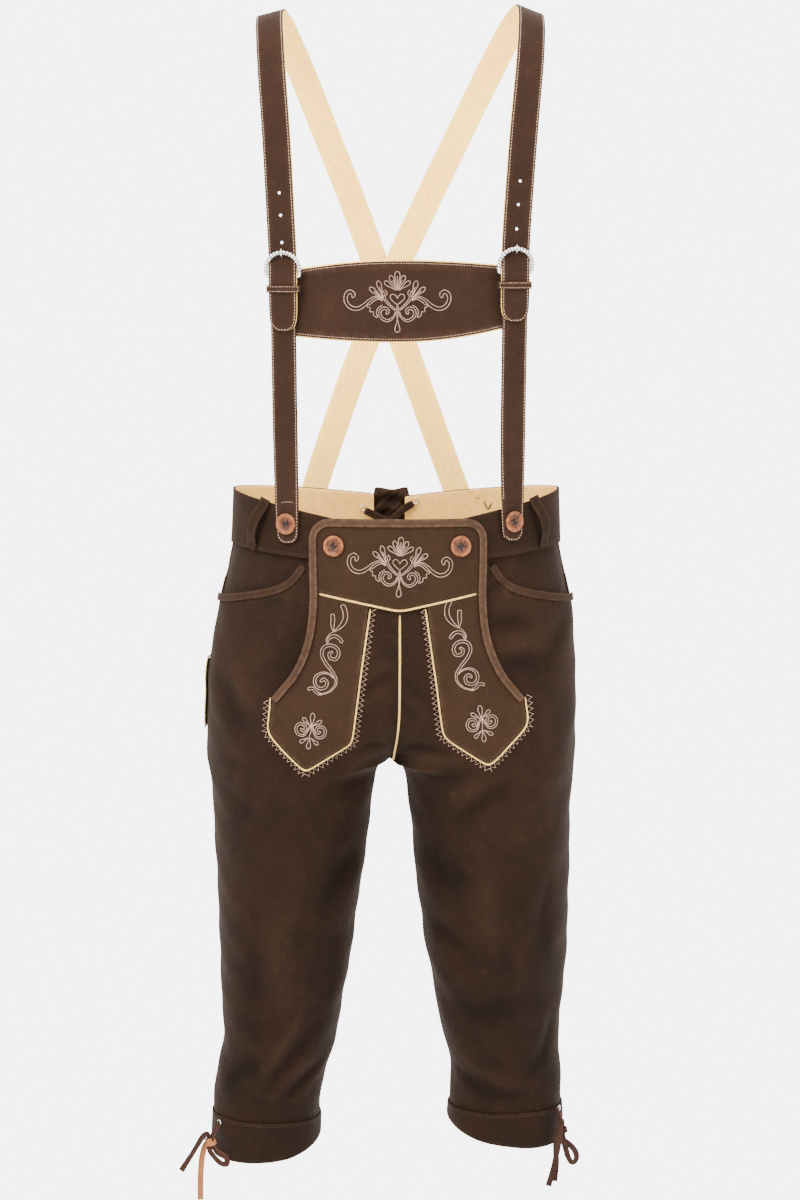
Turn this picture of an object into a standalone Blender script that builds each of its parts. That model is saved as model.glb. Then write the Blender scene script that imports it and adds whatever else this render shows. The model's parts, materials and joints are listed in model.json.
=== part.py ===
"""Knee-length suede lederhosen with a drop-front flap and crossed braces, in the form of a wearer.

The frame is +Z up, -Y to the front, +X to the wearer's left, and the origin is midway between the
two braces where they pass over the shoulders. Sizes are in millimetres, and MM turns them to metres.
"""

import math
from collections import namedtuple

import bmesh
import bpy
from mathutils import Matrix, Vector

MM = 0.001
SHOULDER_Z = -22  # the braces' inner faces over the shoulders, in the heights used below
STRAP_SIDE = {"R": -1, "L": 1}  # the sign of x on the wearer's right and left

# ---- leather and how its layers lie on each other ----
SUEDE = 1.6  # the panels
TRIM = 1.4  # flap, tabs, waistband, cuffs, bindings
LINING = 1.2
GAP = 0.6  # between two layers of cloth
INNER_GAP = 1.2  # between the panels and what lies inside them
SEAM = 0.6  # between two pieces that meet edge to edge
ON_BODY = 0.8  # the underside of what lies on the panels
ON_TRIM = ON_BODY + TRIM + GAP  # the underside of what lies on flap, waistband or cuffs

# ---- heights of the trousers ----
WAIST_Z = -530
OVERLAP = 8  # how far a panel runs under the band or cuff sewn over it
WAIST_DIP = {"front": 38, "back": 22}  # how far the waist drops from the sides to the middle
FOOT_Z = -589  # lower edge of the waistband at the sides
FOOT_DIP = {"front": 16, "back": 12}
DIP_POWER = 1.7
RISE_TOP_Z = {"front": -728, "back": -700}  # where the centre seams start to curve under
CROTCH_Z = -832
LEG_END_Z = -1241
SLIT_END_Z = -748  # where the flap's side slits end
# The cuffs' upper and lower edges: heights at the outseam, the middle of the front and the inseam.
CUFF_TOP = {"R": (-1233, -1230, -1240), "L": (-1225, -1219, -1226)}
CUFF_FOOT = {"R": (-1279, -1275, -1259), "L": (-1263, -1257, -1237)}
CUFF_ROWS = 3
BELT_LOOP_BOW = 9  # how far a belt loop stands off

Section = namedtuple("Section", "z outer inner front back")
# Outseam and inner-edge positions in x, and depths of the front and back from the side seam's plane.
# The inner edge is the centre seam down to the crotch, and the inseam below it.
SECTIONS = {
    "R": [
        Section(-520, -178, 2, 111, 107),
        Section(-589, -181, 2, 117, 113),
        Section(-655, -197, 2, 121, 124),
        Section(-720, -207, 2, 121, 133),
        Section(-772, -212, 1, 118, 137),
        Section(-806, -211, -3, 113, 134),
        Section(-832, -210, -8, 108, 127),
        Section(-838, -209, -20, 106, 123),
        Section(-850, -208, -25, 104, 119),
        Section(-874, -206, -28, 101, 114),
        Section(-959, -202, -38, 92, 101),
        Section(-1062, -200, -54, 81, 89),
        Section(-1120, -198, -62, 74, 80),
        Section(-1154, -196, -70, 69, 75),
        Section(-1190, -206, -82, 67, 71),
        Section(-1237, -209, -87, 67, 69),
        Section(-1290, -209, -88, 68, 70),
    ],
    "L": [
        Section(-520, 174, 2, 111, 107),
        Section(-589, 176, 2, 117, 113),
        Section(-655, 191, 2, 121, 124),
        Section(-720, 196, 2, 121, 133),
        Section(-772, 198, 1, 118, 137),
        Section(-806, 197, -3, 113, 134),
        Section(-832, 196, -8, 108, 127),
        Section(-838, 196, 3, 106, 123),
        Section(-850, 195, 7, 104, 119),
        Section(-874, 192, 11, 101, 114),
        Section(-959, 191, 18, 92, 101),
        Section(-1062, 188, 34, 81, 89),
        Section(-1120, 182, 45, 74, 80),
        Section(-1154, 179, 53, 69, 75),
        Section(-1190, 184, 59, 67, 71),
        Section(-1237, 184, 56, 67, 69),
        Section(-1290, 184, 58, 68, 70),
    ],
}

Fold = namedtuple("Fold", "side face across z slope length width depth")
# The largest troughs (depth below 0) and ridges: across is 0 at the outseam and 1 at the inner edge,
# slope is degrees from level, and length, width and depth are in millimetres.
FOLDS = [
    Fold("R", "front", 0.80, -846, 35, 60, 16, -4.5),
    Fold("R", "front", 0.62, -905, -30, 75, 20, -3.5),
    Fold("R", "front", 0.45, -1175, 14, 60, 15, -4.0),
    Fold("R", "front", 0.30, -1070, 70, 110, 24, 3.0),
    Fold("L", "front", 0.76, -850, -28, 66, 17, -5.0),
    Fold("L", "front", 0.55, -935, 32, 80, 22, -3.5),
    Fold("L", "front", 0.55, -1168, -12, 62, 16, -4.5),
    Fold("L", "front", 0.34, -1040, -72, 120, 26, 3.5),
    Fold("R", "back", 0.72, -812, 26, 62, 18, -5.0),
    Fold("R", "back", 0.45, -1012, -15, 70, 22, -4.5),
    Fold("R", "back", 0.52, -1172, 12, 58, 16, -4.0),
    Fold("L", "back", 0.68, -820, -24, 66, 19, -5.0),
    Fold("L", "back", 0.50, -1000, 18, 66, 21, -4.5),
    Fold("L", "back", 0.46, -1180, -14, 56, 15, -4.0),
]

# ---- mesh columns and rows ----
FRONT_COLUMNS = [0, 0.11, 0.22, 0.32, 0.42, 0.53, 0.59, 0.63, 0.665, 0.77, 0.88, 1]
BACK_COLUMNS = [i / 9 for i in range(10)]
HIP_ROWS = 4
RISE_ROWS = 5
LEG_ROWS = [-832, -837, -847, -865, -900, -950, -1005, -1060, -1110, -1150, -1180, -1210, LEG_END_Z]

# ---- pocket ----
# Its edge, from the outseam to the waistband: the share of the way round the front, and the height.
POCKET_EDGE = [(0, -654), (0.22, -651), (0.42, -643), (0.53, -636), (0.59, -628), (0.63, -615), (0.665, -595)]
POCKET_DEEP = 18  # how far the facing runs on below the edge
BINDING = 8.5  # width of the self bindings

# ---- drop flap ----
FLAP_TOP_Z = -553
FLAP_TOP_HALF = 70  # half width of the level stretch of the top edge
FLAP_CORNER = 22
# Height and half width of the flap's side edge, top to bottom.
FLAP_SIDE = [(-575, 92), (-641, 92), (-672, 95), (-697, 102), (-720, 113), (-748, 134)]
V_SIDE = (84, -632)  # the V piping's outer end: half width and height
V_POINT = (2, -650)
PIPING = 3.0  # width
PIPING_HIGH = 1.9
# The tabs' lower corners: half width and height.
TAB_TIP = {"R": (99, -823), "L": (97, -817)}
TAB_OUTER = {"R": (137, -782), "L": (137, -774)}
TAB_INNER = {"R": (51, -793), "L": (50, -785)}
TAB_TIP_SHARE = 0.546  # how far along the tab's foot its tip lies
TAB_TOP_INNER = 31  # half width where the tab's inner edge meets the V

# ---- braces ----
STRAP_WIDE = 29
LOWER_STRAP_WIDE = 26.5
LOWER_STRAP = 2.2  # thickness of the lower straps, two layers sewn together
STRAP = 1.5  # thickness of the suede layer of a brace
LAYERS = 0.4  # between a strap's lining and its suede

Station = namedtuple("Station", "x y z lean")
# The lining's inner face along the middle of each brace, from the tongue's tip over the shoulder to
# the foot at the back. lean turns the strap's face outwards about its own line, in degrees.
BRACES = {
    "R": [
        Station(-119.5, -112.4, -357, 8),
        Station(-119.5, -114.0, -335, 8),
        Station(-119.5, -116.8, -318, 8),
        Station(-119.5, -118.7, -306, 8),
        Station(-119.5, -117.8, -295, 8),
        Station(-119.5, -114.6, -284, 8),
        Station(-120, -112.6, -270, 8),
        Station(-121, -112.0, -250, 8),
        Station(-126, -109, -150, 9),
        Station(-130, -99, -96, 11),
        Station(-133, -76, -55, 13),
        Station(-135, -42, -32, 14),
        Station(-134, 0, -24, 14.5),
        Station(-127, 38, -33, 13),
        Station(-115.5, 68, -58, 11),
        Station(-100, 90, -95, 7),
        Station(-80.5, 105, -145, 4),
        Station(-52.8, 116, -215, 2),
        Station(-15.7, 122, -318, 0),
        Station(22.4, 120.5, -425, -3),
        Station(49.5, 113.5, -500, -9),
        Station(66, 107.6, -545, -14),
        Station(81, 103.4, -590, -18),
    ],
    "L": [
        Station(122, -112.4, -347, 8),
        Station(122, -114.0, -331, 8),
        Station(122, -116.8, -314, 8),
        Station(122, -118.7, -302, 8),
        Station(122, -117.8, -291, 8),
        Station(122, -114.6, -280, 8),
        Station(122.5, -112.6, -266, 8),
        Station(123.5, -112.0, -246, 8),
        Station(131, -109, -140, 9),
        Station(136, -98, -88, 13),
        Station(139, -74, -50, 17),
        Station(140, -40, -28, 20),
        Station(138.5, 0, -20.5, 21),
        Station(128, 38, -30, 17),
        Station(113.5, 66, -55, 12),
        Station(94.7, 86, -92, 7),
        Station(70.3, 100, -142, 4),
        Station(36.4, 111, -212, 2),
        Station(-12.9, 117, -318, 0),
        Station(-54.8, 112.5, -425, -5),
        Station(-80.7, 104, -500, -14),
        Station(-95, 98.4, -545, -21),
        Station(-108, 94.4, -590, -25),
    ],
}
# The inner face of each lower front strap, from its end on the waistband up to the buckle.
LOWER_STRAPS = {
    "R": [
        Station(-116, -94.0, -582, 22),
        Station(-117, -92.6, -552, 21),
        Station(-117.5, -92.2, -530, 18),
        Station(-118.5, -97, -470, 10),
        Station(-119, -106, -390, 8),
        Station(-119.5, -111.0, -320, 8),
        Station(-119.5, -112.0, -296, 8),
    ],
    "L": [
        Station(121, -89.6, -580, 34),
        Station(121, -88.4, -552, 32),
        Station(121, -89.0, -530, 26),
        Station(121, -97, -470, 10),
        Station(121.5, -106, -390, 8),
        Station(122, -111.0, -316, 8),
        Station(122, -112.0, -292, 8),
    ],
}
HOLE_R = 1.7
# Heights of each brace's spare holes, and of the hole that the prong goes through.
HOLES = {"R": [-213, -236, -264], "L": [-201, -225, -250]}
PRONG_HOLE = (2.4, 6.5)  # half width and half height
CHEST_BAR_HALF = 111
CHEST_BAR_MID = (-283, -366)  # upper and lower edge in the middle
CHEST_BAR_END = {"R": (-294, -360), "L": (-289, -352)}
CHEST_BAR_FRONT = -124  # y of its middle
CHEST_BAR_SIDE = -104  # y of its ends
LINING_EDGE = 1.3  # how far the chest bar's lining shows past its edges

# ---- buckle, keeper and buttons ----
BUCKLE_BAR = 3.2
BUCKLE_HALF = 17.4  # half width between the middles of its sides
BUCKLE_TALL = 25.4  # from the middle of the crossbar to the middle of the arch
BUCKLE_Z = {"R": -299, "L": -295}  # the crossbar
BUCKLE_Y = -116.2
BUCKLE_TILT = 14  # degrees the arch stands off the strap
KEEPER_Z = {"R": -313, "L": -309}
KEEPER_TALL = 7.5
KEEPER_WALL = 1.3
KEEPER_HALF = 16.4
BUTTON_R = 11.2
BUTTON_HIGH = 3.4
BUTTON_SIDES = 14

# ---- laces ----
LACE = 3.0  # diameter of a hem lace
LACE_STEP = 8  # between the points of its tube
EYELET_R = 3.3
EYELET_WIRE = 0.8
HEM_EYELETS = {"R": (-196, -1237), "L": (176, -1223)}
# Each hem lace leaves its eyelet, passes through the knot, loops, passes back and ends free.
HEM_LACES = {
    "R": [
        (-201.5, -52.5, -1240.5),
        (-205.2, -56.4, -1245),
        (-206.5, -57.5, -1250),
        (-206.3, -57.6, -1257.5),
        (-203, -58.5, -1263),
        (-196, -60, -1267.5),
        (-190, -61, -1272.5),
        (-190.5, -61.5, -1278.3),
        (-196.8, -61.5, -1277.2),
        (-203.6, -61, -1270.5),
        (-208.4, -60.2, -1264),
        (-209.4, -59.6, -1257.5),
        (-209.3, -59.5, -1249),
        (-211.6, -62.5, -1243.2),
        (-216.5, -65.5, -1246),
        (-221.5, -66, -1254),
        (-229, -64.5, -1267),
        (-240.6, -61, -1286),
    ],
    "L": [
        (178.6, -51, -1227),
        (180, -54.4, -1231.5),
        (180.2, -55.5, -1236),
        (180.4, -55.6, -1245),
        (184, -55.2, -1252),
        (191.5, -54, -1259),
        (197.3, -53.5, -1267),
        (198.3, -53.5, -1275),
        (193.8, -54, -1279.4),
        (189, -55.2, -1272),
        (186, -56.6, -1261),
        (183.4, -57.5, -1251),
        (182.8, -57.6, -1244),
        (182.8, -57.6, -1234.5),
        (181.6, -61, -1228.8),
        (179.6, -65, -1231.5),
        (178.6, -66.6, -1243),
        (176, -66, -1262),
        (172, -64, -1283),
        (167, -62, -1303),
    ],
}
# The middle of each knot and where the lace's other half hangs from it to its free end.
KNOTS = {"R": (-207.9, -58.5, -1250.5), "L": (181.5, -56.5, -1237)}
KNOT_R = 5.1
KNOT_TURNS = 1.3
KNOT_PITCH = 3.7
HEM_TAILS = {
    "R": [(-215.4, -59.2, -1262), (-218, -59, -1275), (-219.6, -58.6, -1298), (-219.8, -58, -1320.5)],
    "L": [(175.6, -57.4, -1250), (175.3, -58, -1262), (175.6, -58.6, -1280), (174, -58, -1299)],
}
SLIT_X = {"R": -27.5, "L": 7.5}  # the edges of the laced slit at the back of the waist
GUSSET = [(-543, -8, 13), (-563, -8, 17), (-588, -9, 22), (-612, -10, 25), (-636, -10, 15)]  # z, middle, half
BACK_EYELETS = {"R": (-41, -564), "L": (20, -556)}
# Each back strip from beside its eyelet, across the slit: x, height and distance off the lining.
BACK_LACES = {
    "R": [(-38.6, -566, 2.6), (-24, -573, 4.2), (-8, -582, 4.6), (6, -590, 4.2), (16, -596, 2.0)],
    "L": [(17.6, -558, 2.6), (4, -566, 5.4), (-9, -578, 8.2), (-22, -588, 5.6), (-34, -596, 2.0)],
}
BACK_LACE_WIDE = 8.5
BACK_LACE_THICK = 1.6

COLOURS = {
    "suede": ((0.070, 0.034, 0.020), 0.92, 0),
    "suede_trim": ((0.085, 0.043, 0.026), 0.9, 0),
    "lining": ((0.72, 0.53, 0.30), 0.8, 0),
    "piping": ((0.78, 0.62, 0.33), 0.6, 0),
    "horn": ((0.30, 0.12, 0.05), 0.35, 0),
    "metal": ((0.80, 0.80, 0.78), 0.25, 1),
    "lace": ((0.12, 0.055, 0.03), 0.8, 0),
}


def stand_on_origin():
    """Places the objects so that the shoulders' height is the origin's."""
    for obj in bpy.data.objects:
        obj.location.z = -SHOULDER_Z * MM


def clear_scene():
    for obj in list(bpy.data.objects):
        bpy.data.objects.remove(obj)


def make_materials():
    """One Principled material for each finish, by name."""
    made = {}
    for name, (colour, roughness, metallic) in COLOURS.items():
        material = bpy.data.materials.new(name)
        material.use_nodes = True
        shader = material.node_tree.nodes["Principled BSDF"]
        shader.inputs["Base Color"].default_value = (*colour, 1)
        shader.inputs["Roughness"].default_value = roughness
        shader.inputs["Metallic"].default_value = metallic
        made[name] = material
    return made


# ---------------------------------------------------------------- curves


def hermite(xs, ys, x):
    """A smooth curve through the points (xs falling or rising), read at x."""
    last = len(xs) - 1
    k = max(i for i in range(last) if i == 0 or (x - xs[i]) * (xs[-1] - xs[0]) >= 0)
    span = xs[k + 1] - xs[k]

    def slope(i):
        low, high = max(i - 1, 0), min(i + 1, last)
        return (ys[high] - ys[low]) / (xs[high] - xs[low])

    u = min(max((x - xs[k]) / span, 0), 1)
    start, end = ys[k], ys[k + 1]
    leave, arrive = slope(k) * span, slope(k + 1) * span
    return (
        start * (2 * u**3 - 3 * u**2 + 1)
        + leave * (u**3 - 2 * u**2 + u)
        + end * (3 * u**2 - 2 * u**3)
        + arrive * (u**3 - u**2)
    )


def smooth_line(points, step):
    """Points about step apart on a smooth curve through the given points, in two or three dimensions."""
    along = [0]
    for a, b in zip(points, points[1:]):
        along.append(along[-1] + math.dist(a, b))
    count = max(2, round(along[-1] / step))
    columns = list(zip(*points))
    return [
        tuple(hermite(along, values, along[-1] * i / count) for values in columns) for i in range(count + 1)
    ]


def straight_line(points, step):
    """Points about step apart on straight runs between the given points, which are all kept."""
    line = [points[0]]
    for a, b in zip(points, points[1:]):
        count = max(1, round(math.dist(a, b) / step))
        line += [tuple(p + (q - p) * i / count for p, q in zip(a, b)) for i in range(1, count + 1)]
    return line


# ---------------------------------------------------------------- the form of the trousers


def section(side, z):
    rows = SECTIONS[side]
    heights = [row.z for row in rows]
    outer, front, back = (hermite(heights, [row[k] for row in rows], z) for k in (1, 3, 4))
    # The centre seam above the crotch is one curve for both sides, and each inseam below it is its own.
    edge = [row for row in rows if (row.z >= CROTCH_Z if z > CROTCH_Z else row.z <= CROTCH_Z)]
    inner = hermite([row.z for row in edge], [row.inner for row in edge], z)
    return Section(z, outer, inner + STRAP_SIDE[side] * SEAM / 2, front, back)


def turn_end(face, z):
    """How far round the section its inner edge lies: a quarter at the centre seams, a half at the inseam."""
    top = RISE_TOP_Z[face]
    share = min(max((top - z) / (top - CROTCH_Z), 0), 1)
    return math.pi / 2 * (1 + share**1.4)


def fold_depth(side, face, across, z):
    """How far the folds move the cloth outwards here."""
    total = 0
    s = section(side, z)
    arc = abs(s.outer - s.inner) * 1.35
    for fold in FOLDS:
        if (fold.side, fold.face) != (side, face):
            continue
        du, dz = (across - fold.across) * arc, z - fold.z
        angle = math.radians(fold.slope)
        along = du * math.cos(angle) + dz * math.sin(angle)
        beside = dz * math.cos(angle) - du * math.sin(angle)
        total += fold.depth * math.exp(-((along / fold.length) ** 2) - (beside / fold.width) ** 2)
    return total


def on_form(side, face, across, z):
    """The form's own point: across is 0 at the outseam and 1 at the inner edge."""
    s = section(side, z)
    end = turn_end(face, z)
    reach = (s.inner - s.outer) / (1 - math.cos(end))
    angle = across * end
    x = s.outer + reach * (1 - math.cos(angle))
    depth = -s.front if face == "front" else s.back
    return Vector((x, depth * math.sin(angle), z))


def cloth_point(side, face, across, z, out=0.0):
    """A point of the cloth, out millimetres off the form, in metres."""
    step = 0.01
    low, high = max(across - step, 0), min(across + step, 1)
    sideways = on_form(side, face, high, z) - on_form(side, face, low, z)
    upwards = on_form(side, face, across, z + 2) - on_form(side, face, across, z - 2)
    normal = sideways.cross(upwards).normalized()
    if (side == "R") == (face == "back"):
        normal.negate()
    fade = math.sin(math.pi * min(max(across, 0), 1)) ** 0.5
    point = on_form(side, face, across, z)
    return (point + normal * (out + fold_depth(side, face, across, z) * fade)) * MM


def front_point(x, z, out=0.0):
    """The point of the front at this x and height, out millimetres off the form."""
    side = "R" if x < section("R", z).inner else "L"
    s = section(side, z)
    end = turn_end("front", z)
    reach = (s.inner - s.outer) / (1 - math.cos(end))
    angle = math.acos(min(max(1 - (x - s.outer) / reach, -1), 1))
    return cloth_point(side, "front", min(angle / end, 1), z, out)


def front_normal(x, z):
    near = front_point(x - 1, z), front_point(x + 1, z)
    level = front_point(x, z - 1), front_point(x, z + 1)
    return (near[1] - near[0]).cross(level[1] - level[0]).normalized()


# ---------------------------------------------------------------- making solids


def new_object(name, mesh, material):
    mesh.materials.append(material)
    obj = bpy.data.objects.new(name, mesh)
    bpy.context.scene.collection.objects.link(obj)
    mesh.shade_smooth()
    mesh.set_sharp_from_angle(angle=math.radians(50))
    return obj


def sheet(name, rows, outward, material, closed=False):
    """An open sheet through rows of points, with its faces turned towards outward."""
    bm = bmesh.new()
    verts = [[bm.verts.new(point) for point in row] for row in rows]
    for upper, lower in zip(verts, verts[1:]):
        count = len(upper)
        for i in range(count if closed else count - 1):
            j = (i + 1) % count
            bm.faces.new((upper[i], upper[j], lower[j], lower[i]))
    bm.normal_update()
    if sum((face.normal * face.calc_area()).dot(outward(face.calc_center_median())) for face in bm.faces) < 0:
        bmesh.ops.reverse_faces(bm, faces=bm.faces)
    mesh = bpy.data.meshes.new(name)
    bm.to_mesh(mesh)
    bm.free()
    return new_object(name, mesh, material)


def thicken(obj, thickness, outwards=True):
    """Gives the sheet its thickness, towards the side its faces look at or away from it."""
    wall = obj.modifiers.new("wall", "SOLIDIFY")
    wall.thickness = thickness * MM
    wall.offset = 1 if outwards else -1
    wall.use_even_offset = True
    wall.use_quality_normals = True
    return wall


def forwards(_):
    return Vector((0, -1, 0))


def backwards(_):
    return Vector((0, 1, 0))


def from_point(x, y, z):
    centre = Vector((x, y, z)) * MM
    return lambda point: point - centre


def ribbon(name, frames, width, thickness, material, outwards=True):
    """A strip along frames, each a place, the strip's sideways direction and its outward normal."""
    rows = []
    for place, across, _ in frames:
        rows.append([place - across * (width / 2 * MM), place + across * (width / 2 * MM)])
    facing = frames[len(frames) // 2][2]
    strip = sheet(name, rows, lambda _: facing, material)
    thicken(strip, thickness, outwards)
    return strip


def lay_frames(points, normals, closed=False):
    """Frames for a ribbon along points: place, sideways direction (longer at a mitre) and outward normal."""
    frames = []
    last = len(points) - 1
    for i, (point, normal) in enumerate(zip(points, normals)):
        before = points[i - 1] if i or closed else None
        after = points[(i + 1) % len(points)] if i < last or closed else None
        runs = []
        if before is not None:
            runs.append((point - before).normalized())
        if after is not None:
            runs.append((after - point).normalized())
        along = sum(runs, Vector()).normalized()
        mitre = max(along.dot(runs[0]), 0.45)
        frames.append((point, along.cross(normal).normalized() / mitre, normal))
    return frames


def front_frames(line, out):
    """Frames along a line of x and height on the front. out is a distance, or a function of x and height."""
    points = [front_point(x, z, out(x, z) if callable(out) else out) for x, z in line]
    return lay_frames(points, [front_normal(x, z) for x, z in line])


def shifted(frames, sideways):
    """The same frames, moved sideways by millimetres."""
    return [(place + across * (sideways * MM), across, normal) for place, across, normal in frames]


# ---------------------------------------------------------------- legs and waist


def waist_z(face, across):
    return WAIST_Z - WAIST_DIP[face] * across**DIP_POWER


def foot_z(face, across):
    return FOOT_Z - FOOT_DIP[face] * across**DIP_POWER


def across_at(side, face, x, z):
    """How far round from the outseam the form has this x."""
    s = section(side, z)
    end = turn_end(face, z)
    reach = (s.inner - s.outer) / (1 - math.cos(end))
    return math.acos(min(max(1 - (x - s.outer) / reach, -1), 1)) / end


def seam_share(side, z):
    """Half a seam's gap, as a share of the way round."""
    s = section(side, z)
    return SEAM / 2 / (abs(s.inner - s.outer) * 1.3)


def seamed(side, z, across):
    """Draws a column in from both ends of its row, so that the next piece's edge has room."""
    share = seam_share(side, z)
    return share + across * (1 - 2 * share)


def pocket_z(across):
    shares, heights = zip(*POCKET_EDGE)
    return hermite(shares, heights, across)


def panel_rows(face, top):
    """The heights of a leg panel's rows below its top edge, at one column."""
    rise = RISE_TOP_Z[face]
    rows = [top + (rise - top) * i / HIP_ROWS for i in range(HIP_ROWS)]
    rows += [rise + (CROTCH_Z - rise) * math.sin(math.pi / 2 * i / RISE_ROWS) for i in range(RISE_ROWS)]
    return rows + LEG_ROWS


def leg_panel(side, face, material):
    """One leg's front or back, from under the waistband to under the cuff, scooped at the pocket in front."""
    columns = FRONT_COLUMNS if face == "front" else BACK_COLUMNS
    strips = []
    for column in columns:
        top = foot_z(face, column) + OVERLAP
        if face == "front" and column < POCKET_EDGE[-1][0] - 0.001:
            top = pocket_z(column)
        strips.append(
            [cloth_point(side, face, seamed(side, z, column), z) for z in panel_rows(face, top)]
        )
    rows = [list(row) for row in zip(*strips)]
    s = section(side, -700)
    outward = from_point((s.outer + s.inner) / 2, 0, -900)
    panel = sheet(f"{face}_leg_{side}", rows, lambda p: Vector(outward(p).xy.to_3d()), material)
    thicken(panel, SUEDE, outwards=False)
    return panel


def waist_strip(name, side, face, heights, outs, thickness, material, outwards=True, last=1.0):
    """A strip round half the waist. heights maps a share of the way round to the strip's rows."""
    shares = FRONT_COLUMNS if face == "front" else BACK_COLUMNS
    columns = [share for share in shares if share < last - 0.03] + [last]
    rows = []
    for k, out in enumerate(outs):
        row = []
        for column in columns:
            z = heights(column)[k]
            row.append(cloth_point(side, face, seamed(side, z, column), z, out))
        rows.append(row)
    facing = forwards if face == "front" else backwards
    strip = sheet(name, rows, facing, material)
    thicken(strip, thickness, outwards)
    return strip


def spread(top, foot, count):
    return [top + (foot - top) * i / (count - 1) for i in range(count)]


def waistband(side, face, material):
    last = 1.0
    if face == "back":
        last = across_at(side, face, SLIT_X[side], -570)
    waist_strip(
        f"waistband_{face}_{side}",
        side,
        face,
        lambda a: spread(waist_z(face, a), foot_z(face, a), 3),
        [ON_BODY] * 3,
        TRIM,
        material,
        last=last,
    )


def waist_lining(side, material):
    """The band's cream lining, tucked close under its top edge and clear of the panel lower down."""
    inside = -(SUEDE + INNER_GAP)
    waist_strip(
        f"waist_lining_{side}",
        side,
        "back",
        lambda a: spread(waist_z("back", a) - 0.6, foot_z("back", a) - 4, 4),
        [0.0, -0.6, inside, inside],
        LINING,
        material,
        outwards=False,
        last=across_at(side, "back", SLIT_X[side], -570),
    )


def pocket_facing(side, material):
    """The inner panel that shows in the pocket's opening."""
    last = POCKET_EDGE[-1][0] + 0.04
    waist_strip(
        f"pocket_facing_{side}",
        side,
        "front",
        lambda a: spread(foot_z("front", a) + OVERLAP, min(pocket_z(a), -640) - POCKET_DEEP, 3),
        [-(SUEDE + INNER_GAP)] * 3,
        TRIM,
        material,
        outwards=False,
        last=last,
    )


def pocket_binding(side, material):
    """The rolled strip along the pocket's edge."""
    line = smooth_line([(a * 330, z) for a, z in POCKET_EDGE], 13)
    points, normals = [], []
    for along, z in line:
        across = max(along / 330, 0.01)
        if z > foot_z("front", across) - 3:
            continue
        points.append(cloth_point(side, "front", across, z, ON_BODY))
        x = on_form(side, "front", max(across, 0.02), z).x
        normals.append(front_normal(x, z))
    frames = shifted(lay_frames(points, normals), BINDING / 2 * STRAP_SIDE[side])
    ribbon(f"pocket_binding_{side}", frames, BINDING, TRIM, material)


def belt_loop(side, top, foot, bow, material):
    """A loop that stands off the waistband between its sewn ends."""
    count = 9
    points, normals = [], []
    for i in range(count):
        t = i / (count - 1)
        x = top[0] + (foot[0] - top[0]) * t
        z = top[1] + (foot[1] - top[1]) * t
        off = ON_TRIM + bow * math.sin(math.pi * min(max((t - 0.12) / 0.76, 0), 1)) ** 0.8
        points.append(front_point(x, z, off))
        normals.append(front_normal(x, z))
    ribbon(f"belt_loop_{side}", lay_frames(points, normals), 13.5, 1.6, material)


def cuff_z(side, across, face, lower):
    outer, middle, inner = lower[side]
    level = outer + (inner - outer) * across
    return level + (middle - (outer + inner) / 2) * math.sin(math.pi * across) * (face == "front")


def cuff(side, material):
    """The band round the hem, its upper edge on the leg and its lower edge below it."""
    rows = []
    for k in range(CUFF_ROWS):
        row = []
        around = [("front", share) for share in FRONT_COLUMNS[:-1]]
        around += [("back", share) for share in reversed(BACK_COLUMNS[1:])]
        for face, across in around:
            top = cuff_z(side, across, face, CUFF_TOP)
            foot = cuff_z(side, across, face, CUFF_FOOT)
            row.append(cloth_point(side, face, across, top + (foot - top) * k / (CUFF_ROWS - 1), ON_BODY))
        rows.append(row)
    middle = section(side, -1250)
    outward = from_point((middle.outer + middle.inner) / 2, 0, -1255)
    band = sheet(f"cuff_{side}", rows, lambda p: Vector(outward(p).xy.to_3d()), material, closed=True)
    thicken(band, TRIM)


# ---------------------------------------------------------------- flap, tabs and pipings


def v_line_z(x):
    return V_POINT[1] + (V_SIDE[1] - V_POINT[1]) * abs(x - V_POINT[0]) / V_SIDE[0]


def flap_out(x, z):
    """The flap's underside: over the waistband, then down onto the panels by the V."""
    foot = v_line_z(min(max(x, -92), 92))
    share = min(max((z + 612) / (foot + 612), 0), 1)
    return ON_TRIM + (ON_BODY - ON_TRIM) * share


def on_flap(x, z):
    return flap_out(x, z) + TRIM + GAP + 0.25


def drop_flap(material):
    half = FLAP_TOP_HALF + FLAP_CORNER
    left = [-half, -half + 1.8, -half + 6.5, -79, -FLAP_TOP_HALF, -55, -40, -26, -12]
    columns = left + [V_POINT[0]] + [-x for x in reversed(left)]
    rows = [[] for _ in range(6)]
    for x in columns:
        beyond = max(abs(x) - FLAP_TOP_HALF, 0)
        top = FLAP_TOP_Z - FLAP_CORNER + math.sqrt(FLAP_CORNER**2 - beyond**2)
        heights = spread(top, -612, 4)
        foot = v_line_z(x) + SEAM / 2
        heights += [(-612 + foot) / 2, foot]
        for row, z in zip(rows, heights):
            row.append(front_point(x, z, flap_out(x, z)))
    flap = sheet("drop_flap", rows, forwards, material)
    thicken(flap, TRIM)


def flap_edge():
    """The flap's outline from one flare, over the top, to the other: x and height."""
    side = [(x, z) for z, x in FLAP_SIDE]
    corner = [
        (FLAP_TOP_HALF + FLAP_CORNER * math.cos(turn), FLAP_TOP_Z - FLAP_CORNER + FLAP_CORNER * math.sin(turn))
        for turn in (math.pi / 10 * i for i in range(1, 6))
    ]
    down = smooth_line(list(reversed(side)), 11)
    half = down + corner
    top = [(x, FLAP_TOP_Z) for x in (55, 40, 26, 13, 0)]
    return half + top + [(-x, z) for x, z in reversed(half + top[:-1])]


def flap_binding(material):
    frames = shifted(front_frames(flap_edge(), on_flap), -BINDING / 2)
    ribbon("flap_binding", frames, BINDING, TRIM, material)


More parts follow.
